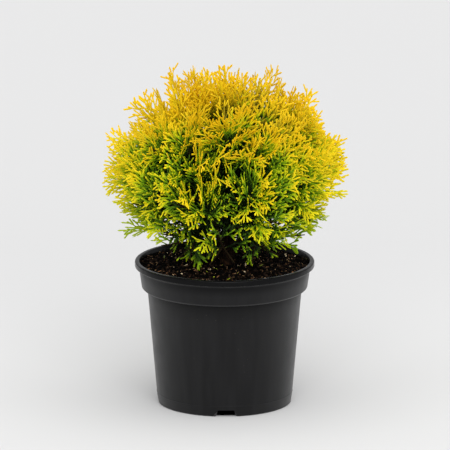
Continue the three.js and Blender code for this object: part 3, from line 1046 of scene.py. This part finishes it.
class Mass:
    """One mass of foliage: its name, direction, reach and where its bough leaves the stem."""

    def __init__(self, name, direction, start):
        self.name = name
        self.direction = direction
        self.reach = reach_along(direction)
        self.start = start
        self.walls = []
        self.twigs = []

    def on_axis(self, share):
        return FORK + self.direction * (share * self.reach)

    def depth_in_cell(self, point):
        return min(wall.dot(point - FORK) for wall in self.walls)

    def may_fill(self, point, margin):
        return (
            point.z > SOIL_MIDDLE_HEIGHT + SOIL_CLEARANCE
            and (point.z > FORK.z or point.xy.length > STEM_CLEARANCE)
            and self.depth_in_cell(point) > margin
        )

    def grow_twigs(self):
        hub = self.on_axis(TWIG_FROM)
        across = SIDEWAYS.cross(self.direction).normalized()
        for i in range(TWIG_COUNT):
            spread = TWIG_SPREAD * math.sqrt((i + 0.5) / TWIG_COUNT)
            aim = Quaternion(across, spread) @ self.direction
            aim = Quaternion(self.direction, i * GOLDEN_ANGLE) @ aim
            end = FORK + aim * (TWIG_TO * reach_along(aim))
            while not self.may_fill(end, TWIG_FOOT_RADIUS):
                end = end.lerp(hub, TWIG_SHORTENING)
            self.twigs.append((hub, end))


def lay_out_masses():
    draw = seeded(MASS_SEED)
    masses = []
    for ring_number, (name, count, elevation, start) in enumerate(RINGS):
        for i in range(count):
            wobble = RING_WOBBLE if count > 1 else 0
            place = (i + (ring_number % 2) / 2) / count
            azimuth = math.radians(place * 360 + blend(-wobble, wobble, draw()))
            height = math.radians(elevation + blend(-wobble, wobble, draw()))
            direction = Vector((
                math.cos(height) * math.cos(azimuth),
                math.cos(height) * math.sin(azimuth),
                math.sin(height),
            ))
            leaving = start + (BOUGH_STAGGER if i % 2 else 0)
            masses.append(Mass(f"{name}_{i + 1}", direction, leaving))
    for mass in masses:
        others = [other for other in masses if other is not mass]
        mass.walls = [(mass.direction - other.direction).normalized() for other in others]
        mass.grow_twigs()
    return masses


def steps(count):
    """Even shares from 0 to 1."""
    return [i / count for i in range(count + 1)]


def bowed(start, leaving, arriving, end, bend, count):
    """Points of a curve that leaves its start and arrives at its end in given directions."""
    pull = (end - start).length * bend
    first = start + leaving * pull
    second = end - arriving * pull
    points = []
    for share in steps(count):
        rest = 1 - share
        points.append(
            start * rest**3
            + first * (3 * rest * rest * share)
            + second * (3 * rest * share * share)
            + end * share**3
        )
    return points


# Limbs and twigs

def tube_mesh(name, lines, roundness):
    """Round tapering limbs along lines of points, each point with its radius."""
    curve = bpy.data.curves.new(name, "CURVE")
    curve.dimensions = "3D"
    curve.bevel_depth = 1
    curve.bevel_resolution = roundness
    curve.use_fill_caps = True
    for points, radii in lines:
        spline = curve.splines.new("POLY")
        spline.points.add(len(points) - 1)
        for place, point, radius in zip(spline.points, points, radii):
            place.co = (*(point * MM), 1)
            place.radius = radius * MM
    mesh = as_mesh(in_scene(name, curve))
    bpy.data.curves.remove(curve)
    return mesh


def stem_line():
    points = []
    radii = []
    foot = SOIL_MIDDLE_HEIGHT - STEM_BURIED
    for share in steps(STEM_STEPS):
        height = blend(foot, FORK.z + STEM_PAST_FORK, share)
        lean = STEM_LEAN * (1 - share) ** 2
        points.append(Vector((lean, 0, height)))
        flare = (STEM_FOOT_RADIUS - STEM_NECK_RADIUS) * math.exp(-share * STEM_FLARE_FADE)
        radii.append(blend(STEM_NECK_RADIUS, STEM_TIP_RADIUS, share) + flare)
    return points, radii


def bough_line(mass):
    start = Vector((0, 0, mass.start))
    end = mass.on_axis(BOUGH_SHARE)
    direction = mass.direction
    leaving = Vector((direction.x, direction.y, direction.z * BOUGH_FLATNESS)).normalized()
    points = bowed(start, leaving, direction, end, BOUGH_BEND, BOUGH_STEPS)
    return points, [blend(BOUGH_FOOT_RADIUS, BOUGH_TIP_RADIUS, i) for i in steps(BOUGH_STEPS)]


def roughen(mesh):
    """Raises the plates and fissures of bark on a mesh of limbs."""
    form = bmesh.new()
    form.from_mesh(mesh)
    form.normal_update()
    for corner in form.verts:
        place = corner.co / (BARK_SIZE * MM)
        place.z *= BARK_STRETCH
        ridge = noise.fractal(place, *BARK_NOISE)
        corner.co += corner.normal * (BARK_DEPTH * MM * ridge)
    smooth_faces(form)
    form.to_mesh(mesh)
    form.free()
    return mesh


def make_limbs(masses):
    lines = [stem_line()]
    lines += [bough_line(mass) for mass in masses]
    mesh = roughen(tube_mesh("barked_limbs", lines, LIMB_ROUNDNESS))
    nodes = ["stem"] + [f"bough_{mass.name}" for mass in masses]
    tones = ((0.3, (12, 8, 5)), (0.55, (34, 22, 14)), (0.75, (70, 46, 28)))
    bark = grained_finish(
        "limb_bark", 0.9, 0.08, tones, (2.2, 6), (1.4, 5, 0.5, 0.8), stretch=(1, 1, 0.25)
    )
    add_piece("barked_limbs", mesh, [bark], "bark", *nodes)


def wandering(start, end, shares, dice):
    """Points from start to end that bow a little aside."""
    aside = Vector([dice.uniform(-1, 1) for _ in range(3)]) * (TWIG_SWAY * (end - start).length)
    return [start.lerp(end, share) + aside * (share * (1 - share) * 2) for share in shares]


def main_twigs(masses, dice):
    lines = []
    shares = steps(TWIG_STEPS)
    radii = [blend(TWIG_FOOT_RADIUS, TWIG_TIP_RADIUS, share) * TWIG_SLIMNESS for share in shares]
    for mass in masses:
        hub = mass.on_axis(TWIG_FROM)
        stalk = [mass.on_axis(BOUGH_SHARE), hub]
        lines.append((stalk, [BOUGH_TIP_RADIUS, TWIG_FOOT_RADIUS]))
        for start, end in mass.twigs:
            lines.append((wandering(start, end, shares, dice), radii))
    return lines


# Fronds

class Shoots:
    """The shoots of one mass, kept as rows of numbers until they are made into a mesh."""

    def __init__(self):
        self.rows = {"short": [], "long": [], "stalk": []}

    def add(self, kind, start, axis, face, length, width, thickness, bend, tone):
        row = (*start, *axis, *face, length, width, thickness, *bend, tone)
        self.rows[kind].append(row)


class Spine:
    """A frond's midrib as a curve that can be read by distance from its tip."""

    def __init__(self, root, leaving, arriving, tip):
        self.points = bowed(root, leaving, arriving, tip, SPINE_BEND, FROND_STATIONS)
        self.points.reverse()
        self.distances = [0]
        for before, after in zip(self.points, self.points[1:]):
            self.distances.append(self.distances[-1] + (after - before).length)
        self.length = self.distances[-1]

    def at(self, distance):
        """The point at a distance from the tip, and the direction towards the tip there."""
        reached = (i for i, far in enumerate(self.distances[1:]) if distance <= far)
        i = next(reached, FROND_STATIONS - 1)
        near, far = self.distances[i:i + 2]
        before, after = self.points[i:i + 2]
        point = before.lerp(after, (distance - near) / (far - near))
        return point, (before - after).normalized()


def surface_normal(point):
    """The way out of the globe at a point."""
    radius = max(point.xy.length, 0.001)
    flat = (radius / GLOBE_RADIUS) ** (GLOBE_FULLNESS - 1) / GLOBE_RADIUS
    rise = point.z - GLOBE_CENTRE_HEIGHT
    steep = (abs(rise) / GLOBE_HALF_HEIGHT) ** (GLOBE_FULLNESS - 1) / GLOBE_HALF_HEIGHT
    way = Vector((point.x / radius * flat, point.y / radius * flat, math.copysign(steep, rise)))
    return way.normalized()


def globe_points(count):
    """Points spread evenly over the globe, down to where it closes in over the soil."""
    floor = SOIL_MIDDLE_HEIGHT + SOIL_CLEARANCE
    lowest = (floor - GLOBE_CENTRE_HEIGHT) / GLOBE_HALF_HEIGHT
    for i in range(count):
        height = 1 - ((i + 0.5) / count) * (1 - lowest)
        radius = (1 - abs(height) ** GLOBE_FULLNESS) ** (1 / GLOBE_FULLNESS)
        angle = i * GOLDEN_ANGLE
        yield Vector((
            GLOBE_RADIUS * radius * math.cos(angle),
            GLOBE_RADIUS * radius * math.sin(angle),
            GLOBE_CENTRE_HEIGHT + GLOBE_HALF_HEIGHT * height,
        ))


def draw_in(points):
    """How far the globe is drawn in at many points: a little at its skirt and its shoulders,
    and more at its left shoulder."""
    usual = np.interp(points[:, 2], OUTLINE_HEIGHTS, OUTLINE_DRAW_IN)
    at_left = np.maximum(0, -points[:, 0] / np.maximum(np.hypot(points[:, 0], points[:, 1]), 1))
    shoulder = np.interp(points[:, 2], LEFT_SHOULDER_HEIGHTS, LEFT_SHOULDER_DRAW_IN)
    return usual + at_left * shoulder


def arriving_way(point, outward, dice):
    """The way a frond points at its tip: upwards on the globe's top, hanging lower down, and
    hanging from higher up at the front and the back than at the sides."""
    normal = surface_normal(point)
    facing = abs(normal.y)
    rise = float(np.interp(point.z - FRONT_OVERHANG * facing**2, RISE_HEIGHTS, RISES))
    if rise < 0:
        rise *= blend(SIDE_HANG, 1, facing)
    rise *= dice.uniform(*RISE_VARIETY)
    jitter = Vector([dice.gauss(0, TIP_JITTER) for _ in range(3)])
    out = normal * OUTWARD_LEAN + outward * (1 - OUTWARD_LEAN)
    return (out + UP * rise + jitter).normalized()


def frond_root(twig, tip, first):
    """Where a frond leaves its twig, so that it slants forwards to its tip."""
    start, end = twig
    line = end - start
    along = max(0, min(1, (tip - start).dot(line) / line.length_squared))
    beside = start + line * along
    back = (tip - beside).length * FROND_SLANT / line.length
    return start.lerp(end, max(first, min(FROND_LAST, along - back)))


def is_inside(point):
    """True inside the frame's box, or where a thin tip may stand a little out of its sides."""
    return all(low < place < high for low, place, high in zip(TIP_LOW, point, TIP_HIGH))


def is_clear(point):
    """True where a leaf may be: inside the frame's box, over the soil and off the rim."""
    over_rim = point.xy.length < INSIDE_LIP_RADIUS - RIM_CLEARANCE
    floor = SOIL_MIDDLE_HEIGHT + SOIL_CLEARANCE if over_rim else POT_HEIGHT + RIM_CLEARANCE
    return point.z > floor and is_inside(point)


def square_to(way, face):
    """A face's direction, set square to the way that its shoot points."""
    return (face - way * face.dot(way)).normalized()


def branching(forward, beside, face, angles, dice):
    """A direction forwards and aside, lifted a little off the frond's face or pressed in."""
    angle = math.radians(dice.uniform(*angles))
    lift = face * dice.uniform(-LATERAL_LIFT, LATERAL_LIFT)
    return (forward * math.cos(angle) + beside * math.sin(angle) + lift).normalized()


def grow_lateral(shoots, base, forward, face, side, length, tone, dice, coarse):
    """A side branch of a frond, with fingers on both its edges."""
    width = dice.uniform(*FINGER_WIDTH) * coarse
    if length < SHORT_LATERAL:
        end = base + side * length
        if is_clear(end):
            bend = forward * (FINGER_CURVE * length)
            shoots.add("short", base, side, face, length, width, FINGER_THICKNESS, bend, tone)
        return
    late = (side + forward * LATERAL_FORWARD).normalized()
    middle = base + side * (length / 2)
    end = middle + late * (length / 2)
    if not is_clear(end):
        return
    tip_length = min(length * END_FINGER_SHARE, END_FINGER_LONGEST)
    tip_length *= dice.uniform(*END_FINGER_VARIETY)
    stalk = (STALK_WIDTH, STALK_THICKNESS, NO_BEND, tone)
    shoots.add("stalk", base, side, face, length / 2 + STALK_OVERLAP, *stalk)
    reach = length / 2 - tip_length * END_FINGER_OVERLAP
    if reach > 1:
        shoots.add("stalk", middle, late, face, reach, *stalk)
    kind = "long" if tip_length > LONG_FINGER else "short"
    start = end - late * tip_length
    shoots.add(kind, start, late, face, tip_length, width, FINGER_THICKNESS, NO_BEND, tone)
    edge = dice.choice((-1, 1))
    beside = late.cross(face)
    distance = FINGER_FIRST * dice.uniform(*FINGER_FIRST_VARIETY)
    while distance < length - LATERAL_BARE:
        if distance < length / 2:
            foot = end - late * distance
        else:
            foot = middle - side * (distance - length / 2)
        way = branching(late, beside * edge, face, FINGER_ANGLE, dice)
        size = min(FINGER_BASE + FINGER_GROWTH * distance, FINGER_LONGEST)
        size *= dice.uniform(*FINGER_VARIETY)
        if is_clear(foot + way * size):
            bend = late * (FINGER_CURVE * size)
            wide = width * dice.uniform(*FINGER_WIDTH_VARIETY)
            kind = "long" if size > LONG_FINGER else "short"
            flat = square_to(way, face)
            finger_tone = tone + dice.uniform(-SHOOT_TONE_VARIETY, SHOOT_TONE_VARIETY)
            shoots.add(kind, foot, way, flat, size, wide, FINGER_THICKNESS, bend, finger_tone)
        edge = -edge
        distance += FINGER_PITCH * coarse * dice.uniform(*FINGER_PITCH_VARIETY)


def grow_frond(mass, point, share, shoots, dice, inner=False, standing=False, brighter=0):
    """A flat frond from a twig, or an inner one from further back on the mass's axis, to its
    tip. A standing one shows its flat side to the front, and a brighter one has that much
    higher tones, painted light. Gives back the bare stalk that carries it."""
    tip = FORK.lerp(point, share)
    while not is_inside(tip):
        tip = FORK.lerp(tip, TIP_PULL)
    coarse = FILL_COARSENESS if inner else 1
    if inner:
        root = mass.on_axis(max(FILL_NEAREST, share - FILL_BACK))
    else:
        twig = min(mass.twigs, key=lambda pair: (pair[1] - tip).length)
        root = frond_root(twig, tip, FROND_FIRST if share > INNER_SHARE[1] else 0)
    outward = (tip - FORK).normalized()
    arriving = arriving_way(point, outward, dice)
    leaving = ((tip - root).normalized() + UP * RISE_AT_ROOT).normalized()
    spine = Spine(root, leaving, arriving, tip)
    leafy = min(spine.length * LEAFY_MOST, dice.uniform(*LEAFY_LENGTH))
    level = arriving.cross(SIDEWAYS if abs(arriving.z) > NEARLY_UPRIGHT else UP).normalized()
    if standing:
        level = square_to(arriving, FRONT)
        twist = dice.gauss(0, STANDING_TWIST)
    elif abs(arriving.z) > NEARLY_UPRIGHT:
        twist = dice.uniform(0, math.pi)
    elif tip.z < LOW_HEIGHT and dice.random() < LOW_FANS:
        twist = dice.gauss(LOW_FAN_TWIST, LOW_FAN_VARIETY)
    else:
        twist = dice.gauss(0, TWIST_USUAL / 2)
    level = Quaternion(arriving, twist) @ level
    own_tone = dice.gauss(0, FROND_TONE_VARIETY) + brighter
    longest = LATERAL_LONGEST * dice.uniform(*LATERAL_LONGEST_VARIETY)

    def frame_at(distance):
        place, forward = spine.at(distance)
        return place, forward, square_to(forward, level)

    distance = leafy
    while distance > RACHIS_STEP:
        place, forward, face = frame_at(distance)
        following, _ = spine.at(distance - RACHIS_STEP)
        way = following - place
        width = blend(STALK_WIDTH, RACHIS_WIDTH, distance / leafy)
        shoots.add(
            "stalk", place, way.normalized(), face, way.length + STALK_OVERLAP,
            width, STALK_THICKNESS, NO_BEND, own_tone - RACHIS_DARKER,
        )
        distance -= RACHIS_STEP
    place, forward, face = frame_at(max(distance, RACHIS_END))
    way = tip - place
    shoots.add(
        "long", place, way.normalized(), face, way.length,
        dice.uniform(*FINGER_WIDTH), FINGER_THICKNESS, NO_BEND, own_tone,
    )
    edge = dice.choice((-1, 1))
    distance = LATERAL_FIRST * dice.uniform(*LATERAL_FIRST_VARIETY)
    while distance < leafy - RACHIS_BARE:
        place, forward, face = frame_at(distance)
        side = branching(forward, forward.cross(face) * edge, face, LATERAL_ANGLE, dice)
        length = min(LATERAL_BASE + LATERAL_GROWTH * distance, longest)
        length *= dice.uniform(*LATERAL_VARIETY)
        past = max(0, distance / leafy - LATERAL_FADE_FROM) / (1 - LATERAL_FADE_FROM)
        length *= 1 - LATERAL_FADE * past
        flat = square_to(side, face)
        tone = own_tone + dice.uniform(-SHOOT_TONE_VARIETY, SHOOT_TONE_VARIETY)
        grow_lateral(shoots, place, forward, flat, side, length, tone, dice, coarse)
        edge = -edge
        distance += LATERAL_PITCH * coarse * dice.uniform(*LATERAL_PITCH_VARIETY)
    shares = steps(len(BARE_STALK_RADII) - 1)
    return [spine.at(blend(spine.length, leafy, i))[0] for i in shares], BARE_STALK_RADII


def lowness(points):
    """How low each point lies in the globe, from 0 to 1."""
    return np.clip((LOW_HEIGHT - points[:, 2]) / LOW_RANGE, 0, 1)


def low_side(points):
    """How much each point belongs to the low sides of the globe, from 0 to 1."""
    aside = points[:, 0] ** 2 / (points[:, 0] ** 2 + points[:, 1] ** 2 + 1)
    return aside * lowness(points)


def tone_of(points, own):
    """The number of the leaf tone at each point: green inside and low, golden outside and
    high. It falls with depth, partly the leaves' own colour and partly painted shade; it is
    lower still low down, painted shade, and higher low at the sides, painted light."""
    share = shares_of_reach(points) + draw_in(points)
    height = np.clip((points[:, 2] - TONE_FOOT) / TONE_RANGE, 0, 1)
    brightest = np.interp(height, BRIGHTEST_AT, BRIGHTEST)
    fall = np.interp(height, FALL_AT, FALL)
    depth = np.clip(FULL_SHARE - share, 0, 1)
    # Painted shade low down, and painted light at the low sides
    side_painted_light = LOW_SIDE_PAINTED_LIGHT - LOW_PAINTED_SHADE
    low_tone = LOW_PAINTED_SHADE * lowness(points) + side_painted_light * low_side(points)
    return brightest - fall * depth + own + low_tone


def hollow_at(point):
    """How far a point lies in one of the hollows, from 0 outside to 1 in its middle."""
    nearest = min((point - middle).length for middle in HOLLOWS)
    return max(0, 1 - nearest / HOLLOW_REACH)


def in_parting(point):
    """True low at the front, where the fronds part and the stem shows."""
    beside = abs(point.x - PARTING_PLACE)
    return point.y < 0 and point.z < PARTING_HEIGHT and beside < PARTING_WIDTH


def holding_mass(masses, point):
    """The mass whose cell holds a point."""
    return next(mass for mass in masses if mass.depth_in_cell(point) >= 0)


def share_in_layer(dice):
    """How far out a frond's tip lies, in one of three layers."""
    layer = dice.random()
    if layer < OUTER_PART:
        return dice.uniform(*OUTER_SHARE)
    if layer < MIDDLE_PART:
        return dice.uniform(*MIDDLE_SHARE)
    return dice.uniform(*INNER_SHARE)


def grow_all_fronds(masses, shoots):
    """Grows the fronds of the layers, those that fill the globe's inside and those at placed
    tips. Gives back their bare stalks."""
    stalks = []
    for i, point in enumerate(globe_points(FROND_COUNT)):
        dice = random.Random(FROND_SEED * SEED_STEP + i)
        mass = holding_mass(masses, point)
        share = share_in_layer(dice)
        low = max(0, min(1, (THIN_BELOW - point.z) / THIN_RANGE))
        aside = (point.x / point.xy.length) ** 2
        left_out = dice.random() < low * (THIN_MOST + THIN_AT_SIDES * aside)
        if left_out or in_parting(point):
            continue
        share *= 1 - float(draw_in(np.array([point]))[0]) - HOLLOW_DEPTH * hollow_at(point)
        stalks.append(grow_frond(mass, point, share, shoots[mass.name], dice))
    for i, point in enumerate(globe_points(FILL_COUNT)):
        dice = random.Random(FILL_SEED * SEED_STEP + i)
        mass = holding_mass(masses, point)
        share = blend(*FILL_SHARE, dice.random() ** (1 / FILL_SPREAD))
        tip = FORK.lerp(point, share)
        if not in_parting(tip) and (tip.z > FILL_LOWEST or tip.xy.length < FILL_WIDEST):
            stalks.append(grow_frond(mass, point, share, shoots[mass.name], dice, inner=True))
    placed = [(point, 1, 0) for point in STANDING_TIPS]
    placed += [(point, FRONT_SHARE, FRONT_PAINTED_LIGHT) for point in FRONT_TIPS]
    for i, (point, share, brighter) in enumerate(placed):
        dice = random.Random(STANDING_SEED * SEED_STEP + i)
        mass = holding_mass(masses, point)
        stalks.append(grow_frond(
            mass, point, share, shoots[mass.name], dice, standing=True, brighter=brighter
        ))
    return stalks


def frond_batch(kind, pattern, rows):
    """The shoots of one kind in one mass, as a batch to be joined."""
    start, axis, face = rows[:, 0:3], rows[:, 3:6], rows[:, 6:9]
    length, width, thickness = rows[:, 9], rows[:, 10], rows[:, 11]
    bend, own_tone = rows[:, 12:15], rows[:, 15]
    side = np.cross(axis, face)
    stretched = (side * width[:, None], axis * length[:, None], face * thickness[:, None])
    low_tone = tone_of(start, own_tone)
    high_tone = tone_of(start + axis * length[:, None], own_tone)
    high_tone += 0 if kind == "stalk" else TIP_BRIGHTER
    tones = low_tone[:, None] + (high_tone - low_tone)[:, None] * pattern.along[None, :]
    ceiling = np.interp(start[:, 2], CEILING_HEIGHTS, CEILING_TONES)
    ceiling -= SIDE_CEILING_DROP * low_side(start)
    numbers = np.clip(np.rint(np.minimum(tones, ceiling[:, None])), 0, GOLDEST)
    # High up, the middle tones become darker golds: the leaves' own colour and painted shade
    high = (start[:, 2] > SHADE_HEIGHT + SHADE_SPREAD * own_tone)[:, None]
    shaded = (numbers >= SHADE_TONES[0]) & (numbers <= SHADE_TONES[1])
    numbers = np.where(high & shaded, numbers + (GOLDEST + 1 - SHADE_TONES[0]), numbers)
    return pattern, start, np.stack(stretched, axis=2), bend, numbers


def make_fronds(masses):
    patterns = {
        "short": beaded_shoot(*SHORT_SHOOT),
        "long": beaded_shoot(*LONG_SHOOT),
        "stalk": plain_stalk(),
    }
    finishes = leaf_finishes()
    shoots = {mass.name: Shoots() for mass in masses}
    stalks = grow_all_fronds(masses, shoots)
    for mass in masses:
        name = f"fronds_{mass.name}"
        batches = [
            frond_batch(kind, pattern, np.array(shoots[mass.name].rows[kind]))
            for kind, pattern in patterns.items()
        ]
        slot = "foliage_green" if mass.name.startswith("skirt") else "foliage_gold"
        mesh = joined_mesh(name, batches, False)
        add_piece(name, mesh, finishes, slot, f"foliage_{mass.name}")
    return stalks


def make_twigs(masses, stalks, dice):
    bark = plain_finish(
        "twig_bark", srgb(40, 30, 16), roughness=0.85, specular=0.1, grain=1.2, depth=0.2
    )
    coarse = tube_mesh("twigs", main_twigs(masses, dice), TWIG_ROUNDNESS)
    add_piece("twigs", coarse, [bark], "bark")
    green = plain_finish(
        "green_twig", srgb(66, 68, 22), roughness=0.7, specular=0.25, grain=1.2, depth=0.15
    )
    add_piece("fine_twigs", tube_mesh("fine_twigs", stalks, 0), [green], "bark")


# Crumbs, chips, grains and leaves on the soil

def scattered(count, size, dice, lift=LITTER_LIFT, sector=None):
    """Places and frames of things that lie on the soil, turned and sized at random."""
    origins = np.zeros((count, 3))
    frames = np.zeros((count, 3, 3))
    for i in range(count):
        radius = (INSIDE_LIP_RADIUS - LITTER_MARGIN) * math.sqrt(dice.random())
        angle = dice.uniform(*sector) if sector else dice.uniform(0, 2 * math.pi)
        x = radius * math.cos(angle)
        y = radius * math.sin(angle)
        scale = [dice.uniform(low, high) for low, high in size]
        origins[i] = (x, y, soil_height(x, y) + scale[2] * lift)
        tilt = Matrix.Rotation(dice.uniform(0, 2 * math.pi), 3, "Z")
        for axis in ("X", "Y"):
            tilt = tilt @ Matrix.Rotation(dice.gauss(0, LITTER_TILT), 3, axis)
        frames[i] = np.array(tilt @ Matrix.Diagonal(scale))
    return origins, frames


def make_litter():
    """Crumbs, grains, chips and fibres. Each kind has its name, its colour, its patterns, how
    many there are, and the ranges of its length, width and height."""
    dice = random.Random(SOIL_SEED)
    crumbs = [rough_lump(3, 0.8), rough_lump(11, 0.9), rough_lump(27, 0.7)]
    chips = [bark_chip(2), bark_chip(9)]
    kinds = (
        ("crumb_black", srgb(5, 3, 3), crumbs, 840, ((1.4, 4.6),) * 3),
        ("crumb_brown", srgb(42, 30, 22), crumbs, 600, ((1.2, 4),) * 3),
        ("crumb_rust", srgb(98, 69, 48), crumbs, 150, ((1, 3),) * 3),
        ("grain_tan", srgb(176, 142, 104), crumbs, 135, ((1, 3), (0.8, 1.8), (0.7, 1.5))),
        ("grain_cream", srgb(236, 214, 176), crumbs, 72, ((1.4, 3.2), (0.9, 2), (0.8, 1.6))),
        ("chip_dark", srgb(40, 28, 21), chips, 150, ((2, 5), (1, 2.4), (0.6, 1.2))),
        ("chip_orange", srgb(134, 96, 66), chips, 50, ((2, 5), (0.9, 2.2), (0.5, 1))),
        ("fibre_tan", srgb(128, 100, 74), chips, 70, ((3, 8), (0.35, 0.6), (0.3, 0.5))),
    )
    batches = []
    finishes = []
    for number, (name, colour, patterns, count, size) in enumerate(kinds):
        finishes.append(plain_finish(
            name, colour, roughness=0.9, specular=0.08, grain=0.7, depth=0.25
        ))
        lift = GRAIN_LIFT if name.startswith("grain") else LITTER_LIFT
        for pattern in patterns:
            origins, frames = scattered(count // len(patterns), size, dice, lift)
            bends = np.zeros_like(origins)
            numbers = np.full((len(origins), len(pattern.faces)), number)
            batches.append((pattern, origins, frames, bends, numbers))
    add_piece("soil_crumbs", joined_mesh("soil_crumbs", batches, False), finishes, "soil")


def make_fallen_leaves():
    dice = random.Random(SOIL_SEED + 1)
    leaf = beaded_shoot(*FALLEN_SHOOT)
    batches = []
    groups = ((LEAVES_IN_FRONT, FRONT_SECTOR), (LEAVES_ANYWHERE, None))
    for number, (count, sector) in enumerate(groups):
        origins, frames = scattered(count, LEAF_SIZES, dice, sector=sector)
        origins[:, 2] += LEAF_LIFT
        bends = np.array([[dice.uniform(-1, 1), dice.uniform(-1, 1), 0] for _ in range(count)])
        numbers = np.full((count, len(leaf.faces)), number)
        batches.append((leaf, origins, frames, bends, numbers))
    finishes = [
        plain_finish("fallen_leaf_lime", srgb(176, 190, 30)),
        plain_finish("fallen_leaf_olive", srgb(120, 132, 34)),
    ]
    mesh = joined_mesh("fallen_leaves", batches, True)
    add_piece("fallen_leaves", mesh, finishes, "foliage_green")


# Studio

def make_studio():
    form = bmesh.new()
    bmesh.ops.create_grid(form, x_segments=1, y_segments=1, size=FLOOR_HALF_SIZE)
    mesh = bpy.data.meshes.new("studio_floor")
    form.to_mesh(mesh)
    form.free()
    pale = Finish("pale_floor", roughness=0.9, specular=0.1)
    # Painted shade: the floor's colour darkens a little towards the back
    depth = pale.ranged(pale.along("Y"), 0, 1, FLOOR_FROM, FLOOR_TO)
    pale.colour(pale.ramp(depth, ((0, FLOOR_NEAR), (1, FLOOR_FAR))))
    mesh.materials.append(pale.material)
    floor = in_scene("studio_floor", mesh)
    world = bpy.data.worlds.new("studio_light")
    world.use_nodes = True
    sky = world.node_tree.nodes["Background"]
    sky.inputs["Color"].default_value = (1, 1, 1, 1)
    sky.inputs["Strength"].default_value = SKY_STRENGTH
    bpy.context.scene.world = world
    for softbox in SOFTBOXES:
        add_sun(*softbox)
    bpy.context.scene.view_settings.view_transform = "Standard"


def look_back(holder, away):
    """Turns a light or a camera so that it looks back along a direction."""
    holder.rotation_mode = "QUATERNION"
    holder.rotation_quaternion = away.to_track_quat("Z", "Y")


def add_sun(name, azimuth, elevation, strength, width):
    light = bpy.data.lights.new(name, "SUN")
    light.energy = strength
    light.angle = math.radians(width)
    a = math.radians(azimuth)
    e = math.radians(elevation)
    away = Vector((math.sin(a) * math.cos(e), -math.cos(a) * math.cos(e), math.sin(e)))
    look_back(in_scene(name, light), away)


def make_camera():
    lens = bpy.data.cameras.new("photo_view")
    lens.sensor_width = SENSOR_WIDTH
    lens.lens = SENSOR_WIDTH * VIEW_DISTANCE / VIEW_WIDTH
    lens.clip_start = VIEW_NEAREST
    lens.clip_end = VIEW_FARTHEST
    camera = in_scene("photo_view", lens)
    away = Vector((0, -math.cos(VIEW_ELEVATION), math.sin(VIEW_ELEVATION)))
    camera.location = VIEW_TARGET + away * VIEW_DISTANCE
    look_back(camera, away)
    bpy.context.scene.camera = camera


def main():
    make_camera()
    make_studio()
    make_pot()
    make_soil()
    make_litter()
    make_fallen_leaves()
    masses = lay_out_masses()
    make_limbs(masses)
    stalks = make_fronds(masses)
    make_twigs(masses, stalks, random.Random(TWIG_SEED))


main()
